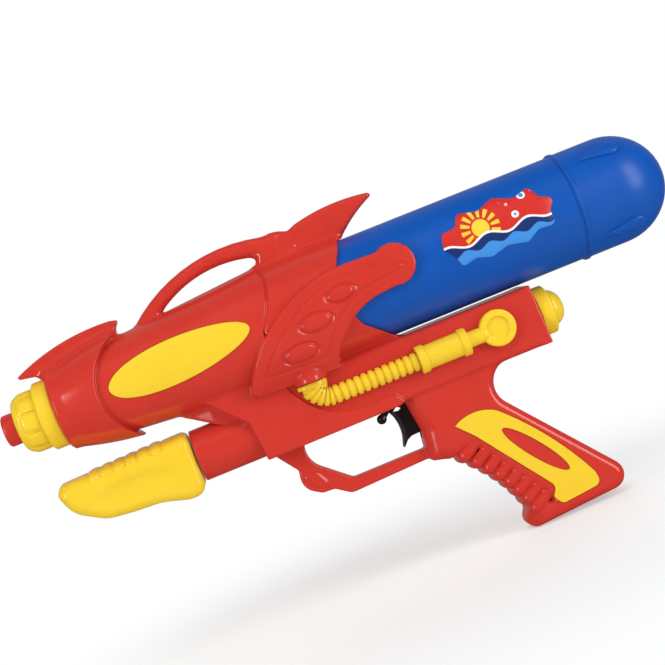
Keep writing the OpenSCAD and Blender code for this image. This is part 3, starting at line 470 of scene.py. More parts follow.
receiver_line = body([(-60, 8), (-40.8, -14), (-38.4, -37.8), (46, -37.4), (50, -36.4), (143.5, -36.6),
    (142.3, 0), (22, 0), (14, 9)])
case.add((110, 322, -76, -20),
    plate(receiver_line, 17.5, lambda x, z: np.clip(4.0 - (x - 310) * 0.6, 0.9, 4.0)), 4.0)
pad_line = body([(-60, 7), (-40.8, -14), (-38.4, -37.8), (45, -37.4), (49, -35.5), (45, -30)]
    + arc((21, -29.7), (3, -23), (-13.3, -1.8)) + [(-14, 7)])
case.add((112, 228, -75, -25), plate(pad_line, 19.5, 1.5), 1.0)
wedge_line = body([(-77, 6), (-75, 2.5), (-60, -7), (-36, -22), (-36, 6)])
case.add((95, 142, -60, -25), plate(wedge_line, lambda x, z: 4 + np.clip((x - 98) * 0.38, 0, 7), 1.5), 3.0)
side_line = outline(arc((141.8, -32.4), (166.6, 0), (219.1, 18.1))
    + arc((238.2, 17.4), (258.2, 6.2), (241.5, -4.6), 10) + arc((228.5, -6), (209, -15.5), (194.8, -37.3), 10)
    + [(145.5, -36)])
case.add((138, 262, -40, 22), lambda x, y, z: edge(np.sqrt((y - 16) ** 2 + z * z) - 53.2,
    side_line(x, z), 1.1), 0.5)
shroud_line = outline([(32.5, 60)] + arc((79.5, 30), (60.5, 0), (76, -31.5), 16)
    + [(75.5, -60), (33.5, -60), (33.5, 0)])
case.add((28, 90, -40, 40), lambda x, y, z: edge(ring(y, z) - shroud_radius(x), shroud_line(x, z), 0.9), 0.5)
crest_line = ([(33.5 + a, b) for a, b in arc((-14.5, 27.2), (16, 36.6), (47, 38.2), 16)
    + [(51, 37.2), (50.5, 35.4), (43, 27), (40, 16), (2, 16), (1, 21), (-5, 23.8), (-14, 25.4)]])
case.add((16, 90, 12, 42), plate(crest_line, 6, 1.2), 7.0)
grip_line = body(rounded([(93.5, -126.5, 1.5), (89.4, -131, 3.5), (93.5, -136.5, 5), (165.2, -131.6, 9),
    (110.5, -65.7, 0)])[:-1] + arc((105.5, -60.2), (102.4, -46), (113.5, -36.4))
    + rounded([(113, -20, 0), (46, -20, 0), (52, -57, 12), (50, -76, 4), (62, -79, 2), (77, -76, 0)])
    + [(109, -124)])
case.add((215, 345, -173, -50), plate(grip_line, 15.5, lambda x, z: np.clip(5.5 + (242 - x) * 0.5, 5.5, 10)), 1.5)


def capsule(a, b, r):
    """Signed distance to a round-ended bar between two points of the mid plane."""
    (ax, az), (bx, bz) = a, b

    def measure(x, z):
        t = np.clip(((x - ax) * (bx - ax) + (z - az) * (bz - az)) / ((bx - ax) ** 2 + (bz - az) ** 2), 0, 1)
        return np.sqrt((x - ax - t * (bx - ax)) ** 2 + (z - az - t * (bz - az)) ** 2) - r

    return measure


case.cut((x_step + 84, x_step + 106, z_top - 140, z_top - 124),
    lambda x, y, z: (1 - np.sqrt(((x - x_step - 111) / 21.6) ** 2 + (y / 16.6) ** 2)) * 16, 1.5)
for k in range(8):
    t = k / 7
    cx, cz = x_step + 68.6 + 28.5 * t + 14.4 * t * (1 - t), z_top - 81.2 - 44.6 * t + 4.8 * t * (1 - t)
    roll_line = capsule((cx, cz), (cx + 12, cz + 7.4), 3.75)

    def finger_roll(x, y, z, roll_line=roll_line):
        back = 4.5 * (1 - np.sqrt(1 - np.minimum(np.abs(y) / 16.5, 1) ** 2))
        return edge(roll_line(x - 0.85 * back, z - 0.52 * back), np.abs(y) - 15.1, 3.7)

    case.add((cx - 6, cx + 20, cz - 6, cz + 15), finger_roll, 0.35)
guard_out = outline(body(rounded([(-37, -35, 0), (-24.4, -52, 2.5), (-26.6, -63, 10), (-16, -69.6, 6),
    (-8.5, -70, 5), (0.2, -76.2, 7), (56, -74.3, 0), (60, -35, 0)])))
guard_in = outline(body(rounded([(-16, -37.2, 4), (-16.6, -50, 15), (4.8, -68.2, 5),
    (58, -68, 0), (58, -37.7, 0)])))
case.add((135, 238, -113, -66), plate(lambda x, z: np.maximum(guard_out(x, z), -guard_in(x, z)), 5, 1.3), 1.5)


def hood(x, y, z):
    """The hood over the hose's upper end: half an egg on the receiver's side."""
    egg = np.sqrt(((x - 177.0) / 9.7) ** 2 + ((y + 20) / 11.0) ** 2 + ((z + 38.4) / 9.6) ** 2)
    return edge((egg - 1) * 9.6, -38.4 - z, 0.8)


case.add((160, 195, -44, -22), hood, 1.0)
panel = [(153.3, -26.7), (157.1, -21.5), (166.7, -11.0), (176.2, -2.9), (185.8, 3.3), (195.4, 7.6),
    (204.9, 9.9), (214.5, 10.9), (224.1, 11.1), (233.6, 10.8), (243.2, 9.3), (248.0, 7.9), (251.8, 4.5),
    (243.2, 2.6), (233.6, 1.9), (224.1, 0.3), (214.5, -3.0), (204.9, -10.1), (200.1, -15.4), (195.4, -21.6),
    (191.5, -28.8), (176.2, -27.9)]
panel_line = outline(panel)
case.press((148, 256, -33, 15), lambda x, y, z: 0.75 * np.exp(-(panel_line(x, z) / 0.75) ** 2) * (y < -24))
for cx, cz, a, b, lean in ((177.1, -20.6, 9.4, 4.7, 0), (191.4, -7.1, 9.0, 4.7, 0), (210.5, 3.2, 7.9, 4.3, 0),
        (158.8, -95.0, 7.6, 3.9, -46)):
    def oval(x, y, z, cx=cx, cz=cz, a=a, b=b, lean=radians(lean)):
        along = (x - cx) * cos(lean) + (z - cz) * sin(lean)
        across = (z - cz) * cos(lean) - (x - cx) * sin(lean)
        e = np.sqrt((along / a) ** 2 + (across / b) ** 2)
        dome = -1.35 * np.sqrt(np.maximum(1 - e * e, 0))
        moat = 1.0 * np.exp(-((e - 1.12) * b / 0.55) ** 2)
        return (dome + moat * (lean == 0)) * (y < (-24 if lean == 0 else -3))

    case.press((cx - 14, cx + 14, cz - 9, cz + 9), oval)


def fin_hollow(x, y, z):
    """Depth of the hollow in the fin's side: crisp along its foot and its front end, fading upwards."""
    along, above = x - 198.5, z - 37 + 0.09 * (x - 198.5)
    rim = np.hypot(np.maximum(3 - along, 0), np.maximum(3 - above, 0)) - 3
    return 1.3 / (1 + np.exp(rim / 0.5)) * np.exp(-np.maximum(above, 0) / 5) * (y < -2)


case.press((188, 240, 30, 57), fin_hollow)


def cast(name, clay, past, limit):
    """The skin of a clay that ends a little past the mid plane, thinned to a number of triangles."""
    clay.field = np.maximum(clay.field, clay.axes[1][None, :, None] - past)
    points, faces = clay.skin()
    made = mesh_object(name, points, faces)
    thin = made.modifiers.new("thin", "DECIMATE")
    thin.ratio = min(1, limit / (2 * len(faces)))
    return settle(made)


shell = cast("case_half_left", case, 1.6, 176000)

# The inside of the case: room for the tank and its socket, the pump, the valve gear and the lines, with walls
# of about 2 mm, and shallow seats for the yellow pieces that are let into it.
trim(shell, lathe("tank_room", [(0, 32.5), (16.6, 32.5), (16.6, 36.5), (19.6, 36.5), (19.6, 39.6), (13, 39.6),
    (13, 42.5), (22.9, 42.5), (33.8, 170.5), (29, 170.5), (29, 177.5), (33.8, 177.5), (33.8, 181.6),
    (33, 181.6), (33, 480), (0, 480)]),
    lathe("pump_room", [(0, 90), (15.65, 90), (15.65, 155.4), (16.25, 155.4), (16.25, 158.6), (15.65, 158.6),
    (15.65, 172.5), (0, 172.5)], (0, z_pump)),
    prism("gear_room", body([(-5, -2.8), (138.5, -2.8), (138.5, -34.2), (-5, -34.2)]), -15.3, 15.3),
    prism("line_room", body([(-30, -8), (1, -8), (1, 1.5), (-4, 1.5), (-4, 18), (-30, 18)]), -13, 13),
    prism("grip_room",
    body(rounded([(100, -28, 0), (56, -28, 0), (56, -60, 6), (54, -72, 3), (72, -74, 3), (114, -119, 2),
    (114, -128, 2), (150, -126, 8), (99, -60, 10)])), -12.4, 12.4),
    prism("trigger_room", body([(27, -25), (66, -25), (66, -62), (43, -62), (27, -42)]), -3.6, 3.6),
    lathe("plug_room", [(0, 311), (13.9, 311), (13.9, 325), (0, 325)], (0, z_plug)))


def insert_line(grow=0.0):
    """The barrel insert's outline, a long drop with the blunt end at the front."""
    return [(x_step - 64 + (43.8 + grow) * cos(t), 2.6 + 2.1 * cos(t)
        + (12.8 + grow) * sin(t) * (1 - 0.12 * cos(t))) for t in turns(90)]


def grip_insert_line(grow=0.0):
    """The grip insert's outline, a leaning drop."""
    lean = 0.7 * grow
    return body(arc((70.6 - grow, -61.1), (82, -57.7 + grow), (95 + lean, -60.4 + lean), 12)
        + arc((97.6 + lean, -62 + lean), (118.2 + lean, -84.8 + lean), (138.3 + grow, -117), 12)
        + rounded([(138.5 + grow, -117.4, 0), (139.8 + grow, -125.4 - grow, 4), (113.6, -128 - grow, 4),
        (110 - grow, -122.3, 2.5), (113.7 - grow, -116.6, 5), (79.8 - lean, -71 - lean, 0)], 8))


def grip_eye(grow=0.0):
    """The outline of the eye in the grip insert, a long oval."""
    return body([(110.4 + 0.612 * (23.6 + grow) * cos(t) + 0.791 * (4.7 + grow) * sin(t),
        -91.7 - 0.791 * (23.6 + grow) * cos(t) + 0.612 * (4.7 + grow) * sin(t)) for t in turns(60)])


insert_pocket = trim(prism("insert_pocket", insert_line(0.3), -45, -5),
    lathe("pocket_floor", [(0, 60), (barrel_radius(60) - 1.4, 60), (barrel_radius(165) - 1.4, 165), (0, 165)]))
grip_pocket = trim(prism("grip_pocket", grip_insert_line(0.3), -24, -14.2), prism("eye", grip_eye(-0.3), -26, -13))
trim(shell, insert_pocket, grip_pocket,
    prism("other_half", [(-50, -300), (600, -300), (600, 300), (-50, 300)], -0.02, 60))

# The right half is the mirror image, with a boss and a sunk hole for each of the eight screws.
right_half = linked("case_half_right", flip(shell.data.copy()))
screw_spots = [(48.5, -16, 18), (118.5, 24, 18), (125.5, -22, 21), (191.5, 45.2, 4.2), (245.5, -65.5, 15.5),
    (301.5, -65.5, 15.5), (259.5, -87, 14), (282.5, -164, 12.3)]


def post(name, at, r, y0, y1):
    """A round post or hole across the case."""
    return prism(name, [(at[0] + r * cos(a), at[1] + r * sin(a)) for a in turns(32)], y0, y1)


def take_screws(made, spots, boss):
    """Gives a right half a boss and a sunk hole at each screw's spot, which is x, z and the boss's end."""
    for spot in spots:
        trim(made, post("boss", spot, boss, 0.06, spot[2]), work="UNION")
        trim(made, post("head_hole", spot, 3.0, 2.6, 60), post("shank_hole", spot, 1.4, -1, 4))


take_screws(right_half, screw_spots, 4.1)


def polish(made, clay, side=1):
    """Normals from the clay where the skin is the moulded outside, and flat ones on the cut faces."""
    mesh = made.data
    at, total = np.zeros(len(mesh.loops), np.int32), np.zeros(len(mesh.polygons), np.int32)
    co, flat = np.zeros(3 * len(mesh.vertices), np.float32), np.zeros(3 * len(mesh.polygons), np.float32)
    mesh.loops.foreach_get("vertex_index", at)
    mesh.polygons.foreach_get("loop_total", total)
    mesh.vertices.foreach_get("co", co)
    mesh.polygons.foreach_get("normal", flat)
    co, flat = co.reshape(-1, 3) / MM * (1, side, 1), np.repeat(flat.reshape(-1, 3), total, 0)
    soft = (clay.normal(co, 0.7 * clay.cell) * (1, side, 1))[at]
    outside = (np.abs(clay.sample(co)) < 0.25)[at] & ((soft * flat).sum(1) > 0.55)
    mesh.polygons.foreach_set("use_smooth", np.ones(len(total), bool))
    mesh.normals_split_custom_set(np.where(outside[:, None], soft, flat))


polish(shell, case)
polish(right_half, case, -1)


def moulded(name, colour, deep, rough, ior, flow=14.0, shine=0.35):
    """A moulded plastic: colour a touch uneven in patches, long flow marks in the gloss and a fine grain."""
    made = bpy.data.materials.new(name)
    tree = emptied(made)
    where = node(tree, "TexCoord")
    drawn = node(tree, "VectorMath", {0: where.outputs["Object"], 1: (0.25, 1, 1)}, operation="MULTIPLY")
    patch = node(tree, "TexNoise", {"Scale": 1000 / 30, "Vector": where.outputs["Object"]})
    marks = node(tree, "TexNoise", {"Scale": 1000 / flow, "Detail": 3.0, "Vector": drawn})
    grain = node(tree, "TexNoise", {"Scale": 1000 / 0.9, "Vector": where.outputs["Object"]})
    tint = node(tree, "Mix", {0: patch.outputs["Fac"], 6: linear(deep), 7: linear(colour)}, data_type="RGBA")
    gloss = node(tree, "MapRange", {0: marks.outputs["Fac"], 1: 0.3, 2: 0.7, 3: rough - 0.05, 4: rough + 0.06})
    sink = node(tree, "Math", {0: marks.outputs["Fac"], 1: 5.0, 2: grain.outputs["Fac"]}, operation="MULTIPLY_ADD")
    bump = node(tree, "Bump", {"Strength": 0.3, "Distance": 0.000012, "Height": sink})
    skin = node(tree, "BsdfPrincipled",
        {"IOR": ior, "Specular IOR Level": shine, "Base Color": tint.outputs[2],
        "Roughness": gloss, "Normal": bump})
    node(tree, "OutputMaterial", {"Surface": skin})
    return made


# High-impact polystyrene, moulded in a polished tool: a warm red with broad soft highlights.
red_plastic = moulded("red_polystyrene", "#D33A2D", "#C9342A", 0.16, 1.59, shine=0.42)


def fit(made, body_name, material, stood_for):
    """Gives a piece its finish and the body it moves with, in place of the node it stands for."""
    made.data.materials.clear()
    made.data.materials.append(material)
    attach(made, body_name)
    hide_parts(stood_for)


fit(shell, "case", red_plastic, "left_shell")
fit(right_half, "case", red_plastic, "right_shell")

# Barrel inserts: two long yellow drops of polystyrene let into the sides of the barrel, slightly crowned,
# pushed into shallow seats and glued.
yellow_plastic = moulded("yellow_polystyrene", "#F5D034", "#F0C92C", 0.18, 1.59)


def lofted(name, rows, tips=()):
    """A closed form through rows of points, each closed on itself, with flat ends or fans to two tips."""
    n, last = len(rows[0]), (len(rows) - 1) * len(rows[0])
    faces = [[n * k + i, n * k + (i + 1) % n, n * k + n + (i + 1) % n, n * k + n + i]
        for k in range(len(rows) - 1) for i in range(n)]
    if tips:
        faces += [[(i + 1) % n, i, last + n] for i in range(n)]
        faces += [[last + i, last + (i + 1) % n, last + n + 1] for i in range(n)]
    else:
        faces += [list(range(n)), list(range(last + n - 1, last - 1, -1))]
    return closed(name, [p for row in rows for p in row] + list(tips), faces)


def shade(made, angle=40):
    """Smooth, but for edges that turn more than an angle."""
    made.data.shade_smooth()
    made.data.set_sharp_from_angle(angle=radians(angle))
    return made


def both_sides(left, stem):
    """Fits a yellow piece to the left of the case, and its mirror image to the right."""
    right = linked(left.name.replace("left", "right"), flip(left.data.copy()))
    for made, side in ((left, "left"), (right, "right")):
        fit(made, "case", yellow_plastic, stem + side)


drop = np.array(insert_line())
drop_rows = ((1, -1.1), (1, -0.1), (0.997, 0.12), (0.988, 0.24), (0.97, 0.3), (0.85, 0.37), (0.65, 0.43),
    (0.4, 0.48), (0.15, 0.5))
insert = lofted("barrel_drop_left",
    [[(x, -sqrt((barrel_radius(x) + height) ** 2 - z * z), z) for x, z in drop.mean(0)
    + (drop - drop.mean(0)) * share] for share, height in drop_rows])
both_sides(shade(insert, 50), "barrel_insert_")

# Grip inserts: yellow panels of the same plastic in the flanks of the hand grip, each with a long eye through
# which the red of the case stands. Their edges are eased.
panel_piece = trim(prism("grip_panel_left", grip_insert_line(), -16.0, -14.2), prism("eye", grip_eye(), -20, -10))
ease = panel_piece.modifiers.new("ease", "BEVEL")
ease.width, ease.segments, ease.limit_method, ease.angle_limit = 0.55 * MM, 3, "ANGLE", radians(50)
ease.harden_normals = True
panel_piece.data.shade_smooth()
both_sides(settle(panel_piece), "grip_insert_")

# Hose: a half-round moulding of yellow polystyrene with a ring round it every few millimetres, which drops
# from its hood on the receiver, turns to the rear and runs to the coupling. Pegs hold it on its seat.
def group(name, *inputs):
    """A new geometry tree that takes a form and other inputs, and the node that hands them on."""
    tree = bpy.data.node_groups.new(name, "GeometryNodeTree")
    for way in ("INPUT", "OUTPUT"):
        tree.interface.new_socket("Geometry", in_out=way, socket_type="NodeSocketGeometry")
    for label, kind in inputs:
        tree.interface.new_socket(label, in_out="INPUT", socket_type="NodeSocket" + kind)
    return tree, node(tree, "NodeGroupInput")


def finished(tree, form, material):
    """Ends a geometry tree with real faces in a material."""
    real = node(tree, "GeometryNodeRealizeInstances", {"Geometry": form})
    dyed = node(tree, "GeometryNodeSetMaterial", {"Geometry": real, "Material": material})
    node(tree, "NodeGroupOutput", {"Geometry": dyed})
    return tree


def seat_tree():
    """Geometry nodes: a ribbed sleeve along a path, flat where it lies on its seat."""
    tree, given = group("ribbed_sleeve", ("Rib height", "Float"), ("Core radius", "Float"), ("Axis", "Float"),
        ("Seat", "Float"), ("Plastic", "Material"))
    path = node(tree, "GeometryNodeMeshToCurve", {"Mesh": given.outputs["Geometry"]})
    girth = node(tree, "GeometryNodeInputNamedAttribute", {"Name": "girth"}, data_type="FLOAT")
    count = node(tree, "GeometryNodeInputNamedAttribute", {"Name": "rib"}, data_type="FLOAT")
    phase = node(tree, "Math", {0: count, 1: 2 * pi}, operation="MULTIPLY")
    wave = node(tree, "Math", {0: phase}, operation="COSINE")
    crest = node(tree, "MapRange", {0: wave, 1: 0.72, 2: 0.2}, interpolation_type="SMOOTHSTEP")
    rise = node(tree, "Math", {0: crest, 1: given.outputs["Rib height"], 2: girth}, operation="MULTIPLY_ADD")
    around = node(tree, "GeometryNodeCurvePrimitiveCircle", {"Resolution": 40})
    sleeve = node(tree, "GeometryNodeCurveToMesh",
        {"Fill Caps": True, "Curve": path, "Profile Curve": around, "Scale": rise})
    spot = node(tree, "GeometryNodeInputPosition")
    split = node(tree, "SeparateXYZ", {0: spot})
    out = node(tree, "Math", {0: split.outputs[1], 1: given.outputs["Axis"]}, operation="SUBTRACT")
    narrow = node(tree, "Math", {0: given.outputs["Core radius"], 1: girth}, operation="DIVIDE")
    squat = node(tree, "Math", {0: narrow}, operation="SQRT")
    low = node(tree, "Math", {0: out, 1: squat, 2: given.outputs["Axis"]}, operation="MULTIPLY_ADD")
    least = node(tree, "Math", {0: low, 1: given.outputs["Seat"]}, operation="MINIMUM")
    joined = node(tree, "CombineXYZ", {0: split, 1: least, 2: split.outputs[2]})
    seated = node(tree, "GeometryNodeSetPosition", {"Geometry": sleeve, "Position": joined})
    return finished(tree, seated, given.outputs["Plastic"])


def grow(made, tree, **values):
    """Runs a tree on an object with its named inputs set, and keeps the mesh."""
    step = made.modifiers.new("nodes", "NODES")
    step.node_group = tree
    for socket in tree.interface.items_tree:
        name = socket.name.replace(" ", "_").lower()
        if socket.in_out == "INPUT" and name in values:
            step[socket.identifier] = values[name]
    return settle(made)


hose_seat, hose_axis, core, z_hose = -17.5, -18.8, 4.5, z_top - 16.7
hose_path = [(x_step + 1.2, z_top - 5.0 - 0.42 * k, 9.1 - (0.6 if k in (0, 7) else 0), 0.0) for k in range(8)]
turn_steps, run_steps = 144, 288
for k in range(turn_steps + 1):
    t = k / turn_steps
    flare = (1 - t) ** 2
    bend, turn_at = 8.4 + 1.6 * flare, pi * (1 + 0.5 * t)
    hose_path.append((x_step + 10.9 + bend * cos(turn_at), z_top - 8.3 + bend * sin(turn_at),
        core + 2.3 * flare, 5 * t))
hose_path += [(x_step + 10.9 + 53.3 * k / run_steps, z_hose, core, 5 + 12 * k / run_steps)
    for k in range(1, run_steps + 1)]
hose = mesh_object("ribbed_hose_left", [(x, hose_axis, z) for x, z, _, _ in hose_path],
    edges=[(k, k + 1) for k in range(len(hose_path) - 1)])
for label, column, unit in (("girth", 2, MM), ("rib", 3, 1)):
    values = hose.data.attributes.new(label, "FLOAT", "POINT")
    values.data.foreach_set("value", [p[column] * unit for p in hose_path])
grow(hose, seat_tree(), rib_height=1.05 * MM, core_radius=core * MM, axis=hose_axis * MM, seat=hose_seat * MM,
    plastic=yellow_plastic)
both_sides(shade(hose, 38), "hose_")

# Hose coupling: two collars on a sleeve, a short neck and a dished ring, moulded in one flat-backed piece of
# yellow polystyrene and pegged to the receiver.
sleeve_r, collar_r, neck_r = 7.3, 8.4, 4.8
coupling = lathe("coupling_left",
    rounded([(r, x_step + x, bend) for r, x, bend in ((0, 64.4, 0), (collar_r, 64.4, 1.0),
    (collar_r, 69.3, 0.9), (sleeve_r, 69.5, 0.3), (sleeve_r, 91.0, 0.3), (collar_r, 91.2, 0.9),
    (collar_r, 96, 1.0), (neck_r, 96, 0.5), (neck_r, 109.4, 3.2), (0, 109.6, 0))], 5), (hose_axis, z_hose), 64)
eye = lathe("coupling_eye",
    rounded([(0, 0, 0), (11, 0, 0), (11, 5.0, 1.2), (6.9, 5.0, 0.7), (6.3, 3.6, 0.8), (0, 3.4, 0)], 5), steps=64)
eye.data.transform(Matrix.Translation(((x_step + 115) * MM, hose_seat * MM, (z_top - 16.2) * MM))
    @ Matrix.Rotation(radians(-90), 4, "Z"))
trim(coupling, eye, work="UNION")
trim(coupling, prism("seat_cut", [(200, -120), (340, -120), (340, 0), (200, 0)], hose_seat, 20))
both_sides(shade(coupling), "hose_coupling_")

# Rear plug: a stepped yellow cap turned out like a knob, pushed into the round hole at the back of the receiver
# and held by a lip inside.
x_back = x_step + 143.5
plug = lathe("rear_knob",
    [(r, x_back + x) for r, x in rounded([(12, -9, 0.3), (14.4, -9, 0.4), (14.4, -5.2, 0.3), (13.8, -5.2, 0),
    (13.8, 0.25, 0), (15, 0.25, 0.4), (15, 8.0, 1.6), (12.6, 9.3, 0.6), (11.3, 9.5, 0.5)], 6)
    + arc((11.0, 10.2), (8.6, 14), (0, 16.3), 14) + [(0, 13.4), (9.5, 11.5), (12, 6.5)]], (0, z_plug))
fit(shade(plug), "case", yellow_plastic, "rear_plug")

# Nozzle: a red tip with the outlet through it, held against its washer by a yellow nut that turns on the thread
# of the white spigot. The nut has ten grip pads and a plain rounded collar.
tip = lathe("outlet_tip",
    rounded([(1.5, 16, 0), (1.5, 1.6, 0.2), (2.6, 0, 0.5), (9.6, 0, 1.9), (9.6, 12.3, 0),
    (13.8, 12.3, 0.3), (13.8, 16, 0.3)], 7))
fit(shade(tip), "nozzle_seat", red_plastic, "nozzle_tip")
nut = lathe("ribbed_nut", [(9.75, 12.1), (9.75, 9.0), (10.1, 8.5)]
    + arc((11.6, 8.5), (15.6, 9.9), (17.2, 13.5), 10)
    + rounded([(17.2, 13.5, 0), (17.2, 23.5, 0.5), (19.2, 23.5, 1.0), (20.8, 24.6, 1.2), (20.8, 33.3, 1.3),
    (16.8, 33.3, 0), (16.8, 16.5, 0), (14.2, 16.5, 0), (14.2, 12.1, 0)], 6)[1:], steps=120)


def ring_tree():
    """Geometry nodes: copies of a form set round the long axis."""
    tree, given = group("round_the_axis", ("Number", "Int"), ("Start", "Float"), ("Plastic", "Material"))
    spots = node(tree, "GeometryNodeMeshLine", {"Offset": (0, 0, 0), "Count": given.outputs["Number"]})
    step = node(tree, "Math", {0: 2 * pi, 1: given.outputs["Number"]}, operation="DIVIDE")
    index = node(tree, "GeometryNodeInputIndex")
    angle = node(tree, "Math", {0: index, 1: step, 2: given.outputs["Start"]}, operation="MULTIPLY_ADD")
    turned = node(tree, "CombineXYZ", {0: angle})
    copies = node(tree, "GeometryNodeInstanceOnPoints",
        {"Points": spots, "Instance": given.outputs["Geometry"], "Rotation": turned})
    return finished(tree, copies, given.outputs["Plastic"])


axis_tree = ring_tree()
pad_half, rows = radians(14.6), []
for x, high in ((10.6, -3.1), (11.4, -1.6), (12.6, -0.3), (13.8, 0.4), (15.2, 0.75), (17, 0.85), (21, 0.85),
        (22.6, 0.75), (23.6, 0.3), (23.9, -0.5)):
    across = [(pad_half * (k - 6) / 6, 17.6 + high - 0.4 * (abs(k - 6) / 6) ** 6) for k in range(13)]
    across += [(a, 16.6 + min(0, high)) for a in (pad_half, -pad_half)]
    rows.append([(x, r * sin(a), r * cos(a)) for a, r in across])
pads = grow(lofted("nut_pads", rows), axis_tree, number=10, start=radians(18), plastic=yellow_plastic)
trim(nut, pads, work="UNION")
fit(shade(nut, 48), "nozzle_nut", yellow_plastic, "nozzle_nut")

# Water tank: a blown bottle of blue polyethylene with a screw neck inside the case. It has a bead round it, a
# slightly wider end with four raised drops, and a domed bottom.
wall_r, end_r, x_end, x_dome = 32.5, 32.9, 387.5, 421.5
dome = [(end_r * cos(a), x_end + 34 * sin(a)) for a in (radians(d) for d in range(5, 90, 5))]
bottle = lathe("water_bottle",
    rounded([(12, 186, 0), (15, 186, 0), (15, 199.5, 1), (24.5, 199.5, 3), (wall_r, 207, 6),
    (wall_r, 358.9, 0.3), (33.8, 359.3, 0.9), (33.8, 361.3, 0.9), (end_r, 361.8, 0.3), (end_r, x_end, 0)], 6)
    + dome + [(0, x_dome), (0, x_dome - 1.6), (22, x_dome - 10), (31.2, 385), (31.2, 208), (23, 201.2),
    (12, 201.2)], steps=144)
rows = []
for k in range(19):
    t = k / 18
    x = 366.8 + 29.4 * t
    width = 0.4 + 4.6 * (min(1, t / 0.8) ** 1.1 if t < 0.8 else sqrt(max(0.012, 1 - ((t - 0.8) / 0.2) ** 2)))
    at = min(1, max(0, (x - x_end) / 34))
    skin_r = end_r * sqrt(1 - at * at)
    line = []
    for i in range(15):
        a = pi * i / 14
        y = -width * cos(a)
        r = skin_r + (1.9 + 0.9 * t) * sin(a) ** 0.38 * min(1, width / 2) - 0.3
        line.append((x, y, sqrt(max(0, r * r - y * y))))
    line += [(x, y, skin_r - 1.2) for y in (0.7 * width, 0, -0.7 * width)]
    rows.append(line)
# Low-density polyethylene, blown: satin, with a faint waxy unevenness from the cold mould.
blue_plastic = moulded("blue_polyethylene", "#0055B4", "#004CA8", 0.33, 1.51, 22.0, 0.36)
drops = grow(lofted("bottle_drops", rows), axis_tree, number=4, start=radians(45), plastic=blue_plastic)
trim(bottle, drops, work="UNION")
fit(shade(bottle), "tank", blue_plastic, "tank")

# Tank label: a die-cut vinyl film stuck round the side of the bottle. A plain sun over waves, with bubbles beside
# it, is printed on it in the toy's colours.
def film_spot(x, z, r):
    """The point at a length and a height on a round skin."""
    return (x, -sqrt(r * r - z * z), z)


label_line = rounded([(275.5, 4, 3), (281, -3, 4), (283, -9.4, 3), (292, -7, 5), (301, -10, 4), (312, -7, 6),
    (324, -9.8, 4), (332, -5, 5), (343, -6, 3), (342, 3, 4), (347.5, 9, 3), (339, 12.5, 4), (336, 20, 3),
    (325, 17, 5), (314, 21.8, 4), (303, 17.6, 6), (291, 21, 4), (287, 13.5, 4), (278, 13, 3)], 8)
middle, back_r, face_r = np.array((311.5, 6.0)), 32.58, 32.8
film = lofted("splash_film", [[film_spot(*(middle + (np.array(p) - middle) * share), r) for p in label_line]
    for r, share in ((back_r, 1), (32.76, 1), (face_r, 0.996), (face_r, 0.75), (face_r, 0.5), (face_r, 0.25))],
    [film_spot(*middle, r) for r in (back_r, face_r)])
printed = bpy.data.materials.new("printed_vinyl_film")
tree = emptied(printed)
where = node(tree, "TexCoord")
scaled = node(tree, "VectorMath", {0: where.outputs["Object"], 1: (1000, 1000, 1000),
    2: (-middle[0], 0, -middle[1])}, operation="MULTIPLY_ADD")
split = node(tree, "SeparateXYZ", {0: scaled})
along, rise = split.outputs[0], split.outputs[2]


def under(height, length, swing, shift, soft=0.25):
    """1 below a wavy line across the film, with an edge as sharp as a screen print."""
    turn_on = node(tree, "Math", {0: along, 1: 2 * pi / length, 2: shift}, operation="MULTIPLY_ADD")
    wave = node(tree, "Math", {0: turn_on}, operation="SINE")
    level = node(tree, "Math", {0: wave, 1: swing, 2: rise}, operation="MULTIPLY_ADD")
    return node(tree, "MapRange", {0: level, 1: height + soft, 2: height - soft})


def print_over(below, colour, mask):
    """A colour laid over what is printed so far."""
    return node(tree, "Mix", {0: mask, 6: below, 7: linear(colour)}, data_type="RGBA").outputs[2]


def both(a, b):
    """Where two masks overlap."""
    return node(tree, "Math", {0: a, 1: b}, operation="MULTIPLY")


def within(value, low, high, soft=0.25):
    """1 between two values, with soft edges."""
    rise_in = node(tree, "MapRange", {0: value, 1: low - soft, 2: low + soft})
    fall_out = node(tree, "MapRange", {0: value, 1: high - soft, 2: high + soft, 3: 1.0, 4: 0.0})
    return both(rise_in, fall_out)


ink = node(tree, "TexNoise", {"Scale": 1000 / 2.0, "Vector": where.outputs["Object"]})
ground = node(tree, "Mix", {0: ink.outputs["Fac"], 6: linear("#C9251F"), 7: linear("#D93127")}, data_type="RGBA")
sun = node(tree, "VectorMath", {0: scaled, 1: (1, 0, 1), 2: (11, 0, -2)}, operation="MULTIPLY_ADD")
reach = node(tree, "VectorMath", {0: sun}, operation="LENGTH").outputs["Value"]
spoke = node(tree, "SeparateXYZ", {0: sun})
turned = node(tree, "Math", {0: spoke.outputs[2], 1: spoke}, operation="ARCTAN2")
beat = node(tree, "Math", {0: turned, 1: 14.0}, operation="MULTIPLY")
rays = node(tree, "Math", {0: beat}, operation="COSINE")
picture = print_over(ground.outputs[2], "#F6D03A", both(within(rays, 0.0, 2.0, 0.12), within(reach, 6.4, 11.6)))
picture = print_over(picture, "#F6D03A", within(reach, -1.0, 5.2))
picture = print_over(picture, "#FFFFFF", under(-3.0, 25.0, 1.9, 0.6))
picture = print_over(picture, "#15306F", under(-4.2, 25.0, 1.9, 0.6))
picture = print_over(picture, "#3D8FE0", under(-8.4, 15.0, 1.3, 2.1))
cells = node(tree, "TexVoronoi", {"Scale": 1 / 7.5, "Randomness": 0.7, "Vector": scaled})
bubbles = both(within(along, 5.0, 40.0), within(rise, 0.0, 20.0))
